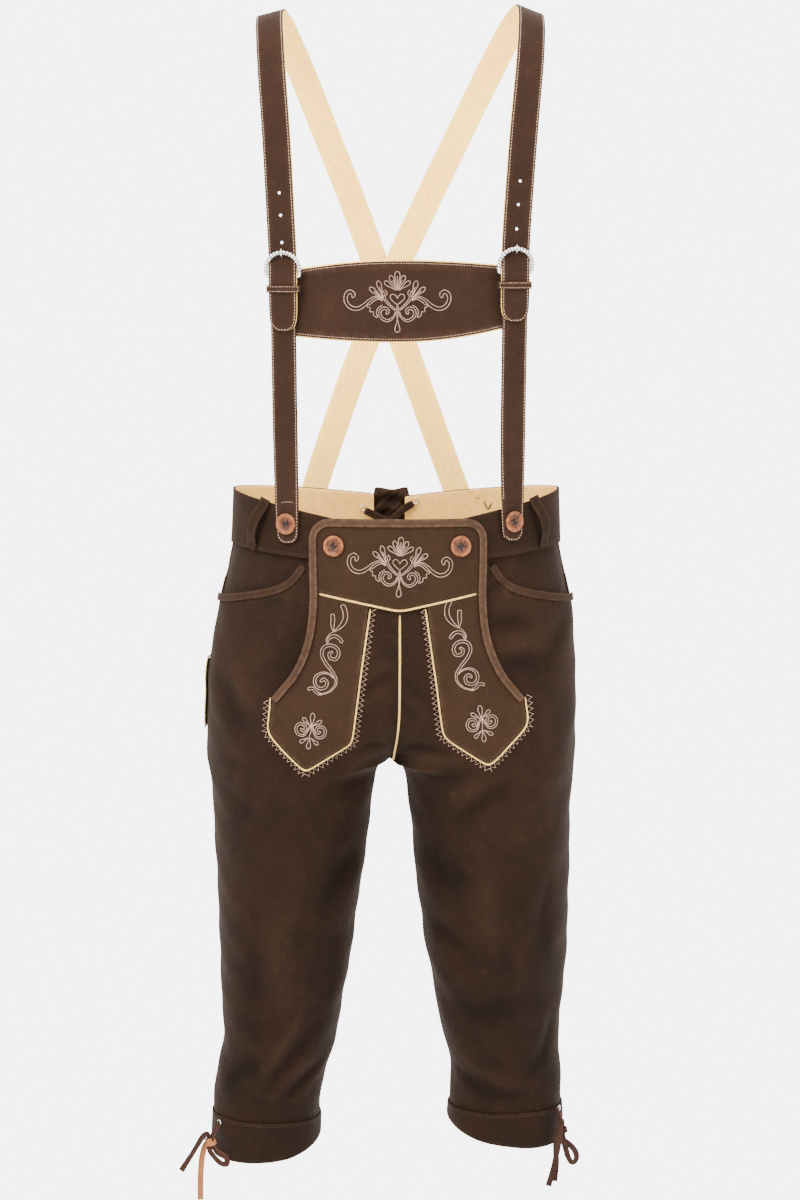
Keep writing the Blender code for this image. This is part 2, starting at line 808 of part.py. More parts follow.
def flap_piping(material):
    end = V_SIDE[0] - 1.5
    line = straight_line([(-end, v_line_z(end)), V_POINT, (end, v_line_z(end))], 13)
    frames = front_frames(line, ON_BODY + TRIM + GAP)
    ribbon("flap_piping", frames, PIPING, PIPING_HIGH - 0.4, material)


def tab_inner_x(side, z):
    share = (z - V_POINT[1]) / (TAB_INNER[side][1] - V_POINT[1])
    return TAB_TOP_INNER + (TAB_INNER[side][0] - TAB_TOP_INNER) * share


def between(a, b, share):
    return tuple(p + (q - p) * share for p, q in zip(a, b))


def tab(side, material):
    """A pointed panel from the V to its tip, between the flap's slit and the piping."""
    turn = STRAP_SIDE[side]
    slit_z, slit_x = zip(*FLAP_SIDE)
    shares = [0, 0.19, 0.37, TAB_TIP_SHARE, 0.7, 0.85, 1]
    rows = []
    for z in (V_POINT[1], -664, -680, -697, -716, -732, SLIT_END_Z):
        low = tab_inner_x(side, z)
        row = [(turn * (low + (hermite(slit_z, slit_x, z) - low) * share), z) for share in shares]
        if z == V_POINT[1]:
            row = [(x, v_line_z(x) - SEAM / 2) for x, _ in row]
        rows.append(row)
    foot = []
    for share in shares:
        if share <= TAB_TIP_SHARE:
            x, z = between(TAB_INNER[side], TAB_TIP[side], share / TAB_TIP_SHARE)
        else:
            x, z = between(TAB_TIP[side], TAB_OUTER[side], (share - TAB_TIP_SHARE) / (1 - TAB_TIP_SHARE))
        foot.append((turn * x, z))
    level = rows[-1]
    for part in (0.25, 0.5, 0.75, 1):
        rows.append([between(a, b, part) for a, b in zip(level, foot)])
    panel = sheet(
        f"tab_{side}", [[front_point(x, z, ON_BODY) for x, z in row] for row in rows], forwards, material
    )
    thicken(panel, TRIM)


def tab_piping(side, material):
    """Cream piping outside the tab's edge, from the V down to the tip and up to the slit's end."""
    turn = STRAP_SIDE[side]
    top_z = v_line_z(TAB_TOP_INNER) - PIPING / 2 - 1.2
    corners = [(tab_inner_x(side, top_z), top_z), TAB_INNER[side], TAB_TIP[side], TAB_OUTER[side]]
    corners.append((FLAP_SIDE[-1][1], SLIT_END_Z + 2))
    line = straight_line([(turn * x, z) for x, z in corners], 14)
    frames = shifted(front_frames(line, ON_BODY), turn * (PIPING / 2 + SEAM / 2))
    ribbon(f"tab_piping_{side}", frames, PIPING, PIPING_HIGH, material)


def centre_piping(material):
    """Cream piping down the centre seam. It stands off more as the legs' sides close on it."""
    top = V_POINT[1] - PIPING / 2 - 1.2
    points, normals = [], []
    for i in range(12):
        z = top + (-822 - top) * (i / 11) ** 0.8
        seam = (section("R", z).inner + section("L", z).inner) / 2
        end = turn_end("front", z)
        s = section("R", z)
        reach = abs(s.inner - s.outer) / (1 - math.cos(end))
        rise = -s.front * math.cos(end) / (reach * math.sin(end)) if end > math.pi / 2 + 0.02 else 0
        lower, upper = (-section("R", h).front * math.sin(turn_end("front", h)) for h in (z - 1, z + 1))
        normal = Vector((0, -2, lower - upper)).normalized()
        if lower > upper:
            normal.z = -abs(normal.z)
        lift = ON_BODY + max(rise, 0) * (PIPING / 2 + 0.2)
        place = Vector((seam, -s.front * math.sin(end), z)) + normal * lift
        points.append(place * MM)
        normals.append(normal)
    ribbon("centre_piping", lay_frames(points, normals), PIPING, PIPING_HIGH - 0.3, material)


# ---------------------------------------------------------------- knife pocket


def side_point(turn, z, out):
    """A point about the wearer's right outseam: turn is the share of the way round, forwards above 0."""
    face = "front" if turn >= 0 else "back"
    return cloth_point("R", face, abs(turn), z, out)


def knife_pocket(material, piping):
    """A slim pocket on the outseam, with cream piping along its front and ends."""
    front, back, top, foot = 0.02, -0.17, -722, -795
    shares = [front + (back - front) * i / 5 for i in range(6)]
    rows = [[side_point(t, z, ON_BODY) for t in shares] for z in spread(top, foot, 5)]
    patch = sheet("knife_pocket", rows, lambda _: Vector((-1, 0.3, 0)), material)
    thicken(patch, TRIM)
    corners = [(back, top), (front, top), (front, foot), (back, foot)]
    line = straight_line([(t * 240, z) for t, z in corners], 13)
    points = [side_point(t / 240, z, ON_BODY) for t, z in line]
    normals = []
    for t, z in line:
        ahead = side_point(t / 240 + 0.01, z, 0) - side_point(t / 240 - 0.01, z, 0)
        normals.append(ahead.cross(Vector((0, 0, 1))).normalized())
    if normals[0].x > 0:
        normals = [-normal for normal in normals]
    frames = shifted(lay_frames(points, normals), -(PIPING / 2 + SEAM))
    ribbon("knife_pocket_piping", frames, PIPING, PIPING_HIGH, piping)


# ---------------------------------------------------------------- braces


def brace_frames(side, stations, step):
    """Frames along a brace's inner face. Its outward side is -Y in front, up at the shoulder, +Y behind."""
    along = [0]
    for a, b in zip(stations, stations[1:]):
        along.append(along[-1] + math.dist(a[:3], b[:3]))
    columns = list(zip(*stations))
    places = []
    for k in range(len(stations) - 1):
        count = max(1, round((along[k + 1] - along[k]) / step))
        for i in range(count + (k == len(stations) - 2)):
            at = along[k] + (along[k + 1] - along[k]) * i / count
            places.append([hermite(along, column, at) for column in columns])
    frames = []
    last = len(places) - 1
    for i, (x, y, z, lean) in enumerate(places):
        run = Vector(places[min(i + 1, last)][:3]) - Vector(places[max(i - 1, 0)][:3])
        run.normalize()
        outward = Vector((0, y, max(0, z + 110)))
        outward = (outward - run * outward.dot(run)).normalized()
        aside = run.cross(outward)
        if aside.x * STRAP_SIDE[side] < 0:
            aside.negate()
        turn = math.radians(lean)
        normal = outward * math.cos(turn) + aside * math.sin(turn)
        frames.append((Vector((x, y, z)) * MM, run.cross(normal).normalized(), normal))
    return frames


def strap(name, frames, width, thickness, material, round_ends=(False, False)):
    """A strip along frames, either of whose ends may be round."""
    half = width / 2
    lengths = [0]
    for a, b in zip(frames, frames[1:]):
        lengths.append(lengths[-1] + (b[0] - a[0]).length / MM)
    total = lengths[-1]
    stops = []
    if round_ends[0]:
        stops += [half * (1 - math.cos(math.radians(turn))) for turn in (22, 45, 68)]
    first = half * 0.95 if round_ends[0] else -1
    last = total - half * 0.95 if round_ends[1] else total + 1
    stops += [length for length in lengths if first < length < last]
    if round_ends[1]:
        stops += [total - half * (1 - math.cos(math.radians(turn))) for turn in (68, 45, 22)]
    rows = []
    for stop in stops:
        k = max(i for i in range(len(lengths) - 1) if stop >= lengths[i] - 1e-6)
        share = (stop - lengths[k]) / (lengths[k + 1] - lengths[k])
        place, across, normal = (frames[k][j].lerp(frames[k + 1][j], share) for j in range(3))
        near = min(stop if round_ends[0] else half, total - stop if round_ends[1] else half)
        reach = math.sqrt(max(half**2 - max(half - near, 0) ** 2, 0))
        rows.append([place - across * (reach * MM), place + across * (reach * MM)])
    facing = frames[len(frames) // 2][2]
    strip = sheet(name, rows, lambda _: Vector(), material)
    middle = min(strip.data.polygons, key=lambda face: (face.center - frames[len(frames) // 2][0]).length)
    if middle.normal.dot(facing) < 0:
        strip.data.flip_normals()
    thicken(strip, thickness)
    return strip


def raised(frames, out):
    return [(place + normal * (out * MM), across, normal) for place, across, normal in frames]


def cut_holes(obj, cutters):
    for i, cutter in enumerate(cutters):
        hole = obj.modifiers.new(f"hole_{i}", "BOOLEAN")
        hole.operation = "DIFFERENCE"
        hole.object = cutter


def punch(name, place, across, normal, half_wide, half_tall):
    """A hidden cutter through a brace: a round or long hole."""
    bpy.ops.mesh.primitive_cylinder_add(vertices=10, radius=1, depth=1)
    cutter = bpy.context.object
    cutter.name = name
    run = normal.cross(across).normalized()
    across = across.normalized()
    turn = Matrix((across, run, normal)).transposed().to_4x4()
    size = Matrix.Diagonal((half_wide * MM, half_tall * MM, 12 * MM, 1))
    cutter.data.transform(Matrix.Translation(place) @ turn @ size)
    cutter.hide_render = True
    cutter.display_type = "WIRE"
    return cutter


def frame_at(frames, z):
    """The front frame of a brace at this height."""
    front = [frame for frame in frames if frame[0].y < -0.05]
    return min(front, key=lambda frame: abs(frame[0].z - z * MM))


def brace(side, material, lining):
    frames = brace_frames(side, BRACES[side], 24)
    inner = strap(f"brace_lining_{side}", frames, STRAP_WIDE + 0.8, LINING, lining, (True, True))
    outer = strap(
        f"brace_{side}", raised(frames, LINING + LAYERS), STRAP_WIDE, STRAP, material, (True, True)
    )
    cutters = []
    fine = brace_frames(side, BRACES[side], 2)
    for i, z in enumerate(HOLES[side]):
        place, across, normal = frame_at(fine, z)
        cutters.append(punch(f"cutter_{side}_{i}", place, across, normal, HOLE_R, HOLE_R))
    place, across, normal = frame_at(fine, BUCKLE_Z[side] + 8)
    cutters.append(punch(f"cutter_{side}_prong", place, across, normal, *PRONG_HOLE))
    cut_holes(inner, cutters)
    cut_holes(outer, cutters)
    return frames


def lower_strap(side, material):
    frames = brace_frames(side, LOWER_STRAPS[side], 26)
    strap(f"lower_strap_{side}", frames, LOWER_STRAP_WIDE, LOWER_STRAP, material, (True, False))


def chest_bar(material, lining):
    """The panel between the front straps, and its lining that shows past both long edges."""
    for name, out, thickness, extra, finish in (
        ("chest_bar_lining", 0, LINING, LINING_EDGE, lining),
        ("chest_bar", LINING + LAYERS, STRAP, 0, material),
    ):
        rows = [[] for _ in range(4)]
        for i in range(17):
            x = CHEST_BAR_HALF * (i / 8 - 1)
            share = (x / CHEST_BAR_HALF) ** 2
            end = CHEST_BAR_END["R" if x < 0 else "L"]
            top = CHEST_BAR_MID[0] + (end[0] - CHEST_BAR_MID[0]) * share + extra
            foot = CHEST_BAR_MID[1] + (end[1] - CHEST_BAR_MID[1]) * share - extra
            y = CHEST_BAR_FRONT + (CHEST_BAR_SIDE - CHEST_BAR_FRONT) * share - out
            for row, z in zip(rows, spread(top, foot, 4)):
                row.append(Vector((x, y, z)) * MM)
        bar = sheet(name, rows, forwards, finish)
        thicken(bar, thickness)


# ---------------------------------------------------------------- buckles, keepers and buttons


def strap_axes(side):
    """Across and outward directions of the front straps by the buckle, which lean outwards."""
    lean = math.radians(BRACES[side][3].lean)
    normal = Vector((STRAP_SIDE[side] * math.sin(lean), -math.cos(lean), 0))
    return Vector((0, 0, 1)).cross(normal) * -1, normal


def tube(name, points, diameter, material, closed=False, resolution=2):
    curve = bpy.data.curves.new(name, "CURVE")
    curve.dimensions = "3D"
    curve.bevel_depth = diameter / 2 * MM
    curve.bevel_resolution = resolution
    curve.use_fill_caps = True
    spline = curve.splines.new("POLY")
    spline.points.add(len(points) - 1)
    for point, place in zip(spline.points, points):
        point.co = (*(c * MM for c in place), 1)
    spline.use_cyclic_u = closed
    spline.use_smooth = True
    curve.materials.append(material)
    obj = bpy.data.objects.new(name, curve)
    bpy.context.scene.collection.objects.link(obj)
    return obj


def buckle(side, material):
    """A horseshoe frame on a crossbar, tilted off the strap, with the prong's tip on the arch."""
    across, normal = strap_axes(side)
    tilt = math.radians(BUCKLE_TILT)
    up = Vector((0, 0, 1)) * math.cos(tilt) + normal * math.sin(tilt)
    base = Vector((BRACES[side][3].x, BUCKLE_Y, BUCKLE_Z[side]))
    straight = BUCKLE_TALL - BUCKLE_HALF
    flat = [(BUCKLE_HALF * t, 0) for t in (-0.85, 0, 0.85)]
    flat += [(BUCKLE_HALF * 0.97, 0.8), (BUCKLE_HALF, 3)]
    for i in range(11):
        turn = math.pi * i / 10
        flat.append((BUCKLE_HALF * math.cos(turn), straight + BUCKLE_HALF * math.sin(turn)))
    flat += [(-BUCKLE_HALF, 3), (-BUCKLE_HALF * 0.97, 0.8)]
    tube(f"buckle_{side}", [base + across * a + up * b for a, b in flat], BUCKLE_BAR, material, closed=True)
    rise = [(3.2, 0), (9.0, 3.3), (15.0, 6.8), (20.0, 8.9), (24.0, 9.5), (27.5, 9.6)]
    tube(f"prong_{side}", [base + Vector((0, 0, a)) + normal * b for a, b in rise], 2.2, material)


def keeper(side, material):
    """A leather ring round the lower strap and the tongue."""
    across, normal = strap_axes(side)
    frames = brace_frames(side, BRACES[side], 2)
    at = frame_at(frames, KEEPER_Z[side])[0] / MM
    outer_face = (LINING + LAYERS + STRAP) + 1.2
    inner_face = at.y + 109.6
    outline = []
    for wall in (0, KEEPER_WALL):
        half, low, high = KEEPER_HALF + wall, inner_face - wall, outer_face + wall
        outline.append(
            [
                (-half, low + 2),
                (-half + 2, low),
                (half - 2, low),
                (half, low + 2),
                (half, high - 2.4),
                (half - 2.4, high),
                (-half + 2.4, high),
                (-half, high - 2.4),
            ]
        )
    rings = []
    for flat, height in ((outline[0], 1), (outline[0], -1), (outline[1], -1), (outline[1], 1)):
        lift = Vector((0, 0, height * KEEPER_TALL / 2))
        rings.append([(at + across * a + normal * b + lift) * MM for a, b in flat])
    bm = bmesh.new()
    loops = [[bm.verts.new(p) for p in ring] for ring in rings]
    count = len(loops[0])
    for k in range(4):
        this, other = loops[k], loops[(k + 1) % 4]
        for i in range(count):
            j = (i + 1) % count
            bm.faces.new((this[i], this[j], other[j], other[i]))
    bmesh.ops.recalc_face_normals(bm, faces=bm.faces)
    mesh = bpy.data.meshes.new(f"keeper_{side}")
    bm.to_mesh(mesh)
    bm.free()
    new_object(f"keeper_{side}", mesh, material)


def button(name, place, normal, material):
    """A turned horn button: a rim round a shallow dish."""
    profile = [(0, 0), (0.82, 0), (1, 0.45), (0.9, 1), (0.62, 0.6), (0, 0.5)]
    profile = [(radius * BUTTON_R, height * BUTTON_HIGH) for radius, height in profile]
    bm = bmesh.new()
    rings = []
    for radius, height in profile:
        if radius == 0:
            rings.append([bm.verts.new((0, 0, height * MM))])
            continue
        turns = (2 * math.pi * i / BUTTON_SIDES for i in range(BUTTON_SIDES))
        rings.append([bm.verts.new((radius * math.cos(t) * MM, radius * math.sin(t) * MM, height * MM)) for t in turns])
    for low, high in zip(rings, rings[1:]):
        for i in range(BUTTON_SIDES):
            j = (i + 1) % BUTTON_SIDES
            corners = [low[i % len(low)], low[j % len(low)], high[j % len(high)], high[i % len(high)]]
            bm.faces.new(list(dict.fromkeys(corners)))
    bmesh.ops.recalc_face_normals(bm, faces=bm.faces)
    turn = Vector((0, 0, 1)).rotation_difference(normal).to_matrix().to_4x4()
    bmesh.ops.transform(bm, matrix=Matrix.Translation(place) @ turn, verts=bm.verts)
    mesh = bpy.data.meshes.new(name)
    bm.to_mesh(mesh)
    bm.free()
    new_object(name, mesh, material)


def buttons(material):
    for side, x in (("R", -66), ("L", 65)):
        lift = on_flap(x, -582) - 0.2
        button(f"flap_button_{side}", front_point(x, -582, lift), front_normal(x, -582), material)
    for side in "RL":
        frames = brace_frames(side, LOWER_STRAPS[side], 2)
        place, _, normal = frame_at(frames, -560 if side == "R" else -558)
        button(f"strap_button_{side}", place + normal * ((LOWER_STRAP + 0.7) * MM), normal, material)
        back = [frame for frame in brace_frames(side, BRACES[side], 2) if frame[0].y > 0.05]
        place, _, normal = min(back, key=lambda frame: abs(frame[0].z + 0.571))
        lift = LINING + LAYERS + STRAP + 0.6
        button(f"back_button_{side}", place + normal * (lift * MM), normal, material)


# ---------------------------------------------------------------- eyelets and laces


def eyelet(name, place, normal, material):
    bpy.ops.mesh.primitive_torus_add(
        major_segments=12, minor_segments=4, major_radius=EYELET_R * MM, minor_radius=EYELET_WIRE * MM
    )
    ring = bpy.context.object
    ring.name = name
    ring.data.name = name
    turn = Vector((0, 0, 1)).rotation_difference(normal).to_matrix().to_4x4()
    ring.data.transform(Matrix.Translation(place + normal * (EYELET_WIRE + 0.3) * MM) @ turn)
    ring.data.materials.append(material)
    ring.data.shade_smooth()


def hem_lace(side, material, metal):
    """A lace tied in a slip knot: its loop and one end, then its other end from the wrap that binds them."""
    x, z = HEM_EYELETS[side]
    normal = front_normal(x, z)
    surface = front_point(x, z, ON_BODY + TRIM)
    eyelet(f"hem_eyelet_{side}", surface, normal, metal)
    start = (surface + normal * (0.9 * MM)) / MM
    route = [tuple(start), tuple(start + normal * 3.5)] + HEM_LACES[side]
    tube(f"hem_lace_{side}", smooth_line(route, LACE_STEP), LACE, material)
    middle = Vector(KNOTS[side])
    wrap = []
    steps = round(KNOT_TURNS * 10)
    turn_end_at = math.pi
    for i in range(steps + 1):
        turn = turn_end_at - 2 * math.pi * KNOT_TURNS * (1 - i / steps)
        drop = KNOT_PITCH * KNOT_TURNS * i / steps
        wrap.append((middle.x + KNOT_R * math.cos(turn), middle.y - KNOT_R * math.sin(turn), middle.z - drop))
    tail = smooth_line([wrap[-1]] + HEM_TAILS[side], LACE_STEP)
    tube(f"hem_lace_tail_{side}", wrap + tail[1:], LACE, material)


def back_point(x, z, out):
    side = "R" if x < section("R", z).inner else "L"
    return cloth_point(side, "back", across_at(side, "back", x, z), z, out)


def back_normal(x, z):
    near = back_point(x - 1, z, 0), back_point(x + 1, z, 0)
    level = back_point(x, z - 1, 0), back_point(x, z + 1, 0)
    return (level[1] - level[0]).cross(near[1] - near[0]).normalized()


def back_slit(material, lace, metal):
    """The gusset behind the slit, and two strips that cross it inside from an eyelet each."""
    rows = []
    for z, middle, half in GUSSET:
        rows.append([back_point(middle + half * t, z, ON_TRIM) for t in (-1, -0.5, 0, 0.5, 1)])
    panel = sheet("back_gusset", rows, backwards, material)
    thicken(panel, TRIM)
    inside = -(SUEDE + INNER_GAP + LINING)
    for side, (x, z) in BACK_EYELETS.items():
        normal = -back_normal(x, z)
        eyelet(f"back_eyelet_{side}", back_point(x, z, inside), normal, metal)
        line = smooth_line(BACK_LACES[side], 8)
        points = [back_point(a, b, inside - c) for a, b, c in line]
        normals = [-back_normal(a, b) for a, b, _ in line]
        frames = lay_frames(points, normals)
        ribbon(f"back_lace_{side}", frames, BACK_LACE_WIDE, BACK_LACE_THICK, lace)


# ---------------------------------------------------------------- the whole


def main():
    clear_scene()
    finish = make_materials()
    suede, trim, cream = finish["suede"], finish["suede_trim"], finish["lining"]
    for side in "RL":
        for face in ("front", "back"):
            leg_panel(side, face, suede)
            waistband(side, face, suede)
        waist_lining(side, cream)
        pocket_facing(side, suede)
        pocket_binding(side, trim)
        cuff(side, suede)
        tab(side, trim)
        tab_piping(side, finish["piping"])
        brace(side, trim, cream)
        lower_strap(side, trim)
        buckle(side, finish["metal"])
        keeper(side, trim)
        hem_lace(side, finish["lace"], finish["metal"])
    belt_loop("R", (-139, -536), (-155, -591), BELT_LOOP_BOW, suede)
    belt_loop("L", (142.5, -534), (154.5, -589), BELT_LOOP_BOW, suede)
    drop_flap(trim)
    flap_binding(trim)
    flap_piping(finish["piping"])
    centre_piping(finish["piping"])
    knife_pocket(suede, finish["piping"])
    chest_bar(trim, cream)
    buttons(finish["horn"])
    back_slit(suede, finish["lace"], finish["metal"])
    stand_on_origin()


main()
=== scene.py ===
# Knee-length suede lederhosen with braces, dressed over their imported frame.
import bpy, bmesh, json, math
import numpy as np
from mathutils import Matrix, Vector
from mathutils.bvhtree import BVHTree
from mathutils.kdtree import KDTree

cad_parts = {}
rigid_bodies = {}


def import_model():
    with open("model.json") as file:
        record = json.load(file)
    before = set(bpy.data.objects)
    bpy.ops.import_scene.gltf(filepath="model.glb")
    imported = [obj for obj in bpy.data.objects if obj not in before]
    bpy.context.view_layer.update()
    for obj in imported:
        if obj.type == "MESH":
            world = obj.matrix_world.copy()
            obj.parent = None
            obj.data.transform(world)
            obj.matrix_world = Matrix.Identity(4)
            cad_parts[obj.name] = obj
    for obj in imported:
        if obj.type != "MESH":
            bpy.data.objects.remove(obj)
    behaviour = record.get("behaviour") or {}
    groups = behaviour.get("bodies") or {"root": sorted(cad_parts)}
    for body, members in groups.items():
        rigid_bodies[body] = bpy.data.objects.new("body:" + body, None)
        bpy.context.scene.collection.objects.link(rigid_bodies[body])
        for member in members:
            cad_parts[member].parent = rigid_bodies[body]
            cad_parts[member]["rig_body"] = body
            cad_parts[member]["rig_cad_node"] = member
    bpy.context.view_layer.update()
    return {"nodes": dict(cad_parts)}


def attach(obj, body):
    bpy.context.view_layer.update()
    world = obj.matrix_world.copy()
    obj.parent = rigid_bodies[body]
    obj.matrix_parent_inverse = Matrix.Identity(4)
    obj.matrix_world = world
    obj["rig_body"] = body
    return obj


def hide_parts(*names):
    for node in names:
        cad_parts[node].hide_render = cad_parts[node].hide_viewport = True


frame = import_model()
nodes = frame["nodes"]
mm = 0.001
scene = bpy.context.scene

# ---- camera

view = {"place": (0.0022, -2.9708, -0.2155), "pitch": 82, "lens": 81.82, "sensor": 36, "farthest": 30}


def linked(name, data):
    piece = bpy.data.objects.new(name, data)
    scene.collection.objects.link(piece)
    return piece


camera = bpy.data.cameras.new("camera")
camera.lens, camera.sensor_width, camera.clip_end = view["lens"], view["sensor"], view["farthest"]
cameraObject = linked("camera", camera)
cameraObject.location = view["place"]
cameraObject.rotation_euler = (math.radians(view["pitch"]), 0, 0)
scene.camera = cameraObject

# ---- helpers for meshes


def pick(*pieces):
    bpy.ops.object.select_all(action="DESELECT")
    for piece in pieces:
        piece.select_set(True)
    bpy.context.view_layer.objects.active = pieces[0]


def applyAll(piece):
    pick(piece)
    for modifier in list(piece.modifiers):
        bpy.ops.object.modifier_apply(modifier=modifier.name)


def readThrees(items, key):
    values = np.empty(len(items) * 3)
    items.foreach_get(key, values)
    return values.reshape(-1, 3)


def getPoints(piece):
    return readThrees(piece.data.vertices, "co")


def setPoints(piece, points):
    piece.data.vertices.foreach_set("co", np.ascontiguousarray(points).ravel())
    piece.data.update()


def smoothBy(piece, degrees):
    # edges sharper than this stay sharp
    pick(piece)
    bpy.ops.object.shade_smooth_by_angle(angle=math.radians(degrees))
    return piece


def treeOf(*pieces):
    points, faces = [], []
    for piece in pieces:
        first = len(points)
        points += [Vector(point) for point in getPoints(piece)]
        faces += [[first + i for i in face.vertices] for face in piece.data.polygons]
    return BVHTree.FromPolygons(points, faces)


def pointTree(points):
    tree = KDTree(len(points))
    for i, point in enumerate(points):
        tree.insert(point, i)
    tree.balance()
    return tree


def smoothRoute(points, step):
    # a smooth curve through the points, with a point every step
    points = [Vector(point) for point in points]
    dense = []
    for k in range(len(points) - 1):
        a, b = points[max(k - 1, 0)], points[k]
        c, d = points[k + 1], points[min(k + 2, len(points) - 1)]
        count = max(1, round((c - b).length / step))
        for i in range(count):
            t = i / count
            square, cube = 2 * a - 5 * b + 4 * c - d, 3 * b - a - 3 * c + d
            dense.append(0.5 * (2 * b + (c - a) * t + square * t**2 + cube * t**3))
    return dense + [points[-1]]


def meshPiece(name, points, faces, finish):
    mesh = bpy.data.meshes.new(name)
    mesh.from_pydata([tuple(point) for point in points], [], faces)
    mesh.validate()
    mesh.materials.append(finish)
    mesh.shade_smooth()
    return linked(name, mesh)


def mounted(piece, slot, *replaced):
    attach(piece, "root")
    if replaced:
        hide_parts(*replaced)
    return piece


# ---- materials


def startGroup(name, inputs, outputs):
    # a node group with its input and output nodes; each input is its kind and its first value
    group = bpy.data.node_groups.new(name, "ShaderNodeTree")
    for socket, (kind, value) in inputs.items():
        made = group.interface.new_socket(socket, in_out="INPUT", socket_type="NodeSocket" + kind)
        if value is not None:
            made.default_value = value
    for socket, kind in outputs.items():
        group.interface.new_socket(socket, in_out="OUTPUT", socket_type="NodeSocket" + kind)
    return group, group.nodes.new("NodeGroupInput"), group.nodes.new("NodeGroupOutput")


def feed(tree, node, values):
    # each input gets a plain value or a link
    for name, value in values.items():
        if isinstance(value, (int, float, tuple)):
            node.inputs[name].default_value = value
        else:
            tree.links.new(value, node.inputs[name])


def noise(tree, scale, detail, vector, rough=0.55, warp=0.0):
    node = tree.nodes.new("ShaderNodeTexNoise")
    feed(tree, node, {"Scale": scale, "Detail": detail, "Roughness": rough, "Distortion": warp, "Vector": vector})
    return node.outputs["Fac"]


def calc(tree, operation, a, b=0.5, clamp=False):
    node = tree.nodes.new("ShaderNodeMath")
    node.operation = operation
    node.use_clamp = clamp
    feed(tree, node, {0: a, 1: b})
    return node.outputs[0]


def ramp(tree, value, low, high, outLow=0.0, outHigh=1.0):
    node = tree.nodes.new("ShaderNodeMapRange")
    feed(tree, node, {"Value": value, "From Min": low, "From Max": high, "To Min": outLow, "To Max": outHigh})
    return node.outputs[0]


def blendColour(tree, share, a, b, kind="MIX"):
    node = tree.nodes.new("ShaderNodeMix")
    node.data_type = "RGBA"
    node.blend_type = kind
    feed(tree, node, {0: share, 6: a, 7: b})
    return node.outputs[2]


def attributeOf(tree, name):
    node = tree.nodes.new("ShaderNodeAttribute")
    node.attribute_name = name
    return node.outputs["Fac"]


def makeNapGroup():
    # brushed suede: cloudy patches, small mottling, edges worn lighter, painted shade in the troughs, lighter
    # ridges that are rub wear with a painted highlight, and a fine nap
    group, start, end = startGroup("suedeNap", {
        "Vector": ("Vector", None), "Base": ("Color", (0.05, 0.03, 0.02, 1)),
        "Deep": ("Color", (0.03, 0.02, 0.01, 1)), "RubbedWearAndPaintedHighlight": ("Color", (0.1, 0.06, 0.04, 1)),
        "Wear": ("Float", 0.0), "Fold": ("Float", 0.0),
    }, {"Colour": "Color", "Roughness": "Float", "Height": "Float"})
    vector, fold = start.outputs["Vector"], start.outputs["Fold"]

    def times(a, b, clamp=False):
        return calc(group, "MULTIPLY", a, b, clamp)

    def plus(a, b, clamp=False):
        return calc(group, "ADD", a, b, clamp)

    cloud = ramp(group, noise(group, 11, 3, vector), 0.32, 0.68)
    patch = ramp(group, noise(group, 46, 4, vector, 0.6), 0.33, 0.7)
    speck = ramp(group, noise(group, 240, 3, vector, 0.6), 0.3, 0.72)
    nap = noise(group, 1300, 2, vector, 0.6)
    mixed = plus(times(cloud, 0.55), times(patch, 0.45), True)
    colour = blendColour(group, mixed, start.outputs["Deep"], start.outputs["Base"])
    scuff = times(times(ramp(group, noise(group, 70, 5, vector, 0.7), 0.56, 0.8), speck), 0.55)
    edge = times(start.outputs["Wear"], ramp(group, noise(group, 160, 3, vector), 0.3, 0.62))
    # ridges of the fold mark take the lighter rub-worn colour: rub wear with a painted highlight
    ridgeWearAndPaintedHighlight = times(calc(group, "MAXIMUM", fold, 0.0), 0.45)
    colour = blendColour(group, plus(plus(scuff, edge), ridgeWearAndPaintedHighlight, True), colour, start.outputs["RubbedWearAndPaintedHighlight"])
    # fold marks below zero darken the cloth: painted shade in the troughs, and darker towards the hems
    trough = times(calc(group, "MINIMUM", fold, 0.0), 0.5)
    shade = plus(ramp(group, nap, 0.25, 0.75, 0.78, 1.2), trough)
    shade = times(shade, ramp(group, speck, 0, 1, 0.88, 1.1))
    grey = group.nodes.new("ShaderNodeCombineColor")
    feed(group, grey, {0: shade, 1: shade, 2: shade})
    feed(group, end, {
        "Colour": blendColour(group, 1.0, colour, grey.outputs[0], "MULTIPLY"),
        "Roughness": ramp(group, speck, 0, 1, 0.84, 0.97),
        "Height": plus(plus(times(nap, 0.5), times(speck, 0.9)), patch),
    })
    return group


def makeThreadGroup():
    # twisted thread: fine bright and dark flecks along the object
    group, start, end = startGroup("threadFleck", {
        "Vector": ("Vector", None), "Light": ("Color", (0.8, 0.7, 0.6, 1)),
        "Dark": ("Color", (0.4, 0.3, 0.2, 1)), "Scale": ("Float", 1400),
    }, {"Colour": "Color", "Height": "Float"})
    fleck = noise(group, start.outputs["Scale"], 2, start.outputs["Vector"], 0.5)
    soil = noise(group, 60, 3, start.outputs["Vector"])
    share = calc(group, "MULTIPLY", ramp(group, fleck, 0.35, 0.65), ramp(group, soil, 0.3, 0.6, 0.5, 1))
    colour = blendColour(group, share, start.outputs["Dark"], start.outputs["Light"])
    feed(group, end, {"Colour": colour, "Height": fleck})
    return group


napGroup = makeNapGroup()
threadGroup = makeThreadGroup()


def startMaterial(name):
    material = bpy.data.materials.new(name)
    material.use_nodes = True
    tree = material.node_tree
    shader = tree.nodes["Principled BSDF"]
    place = tree.nodes.new("ShaderNodeTexCoord").outputs["Object"]
    return material, tree, shader, place


def bumped(tree, shader, height, strength, distance):
    bump = tree.nodes.new("ShaderNodeBump")
    feed(tree, bump, {"Strength": strength, "Distance": distance, "Height": height})
    feed(tree, shader, {"Normal": bump.outputs["Normal"]})


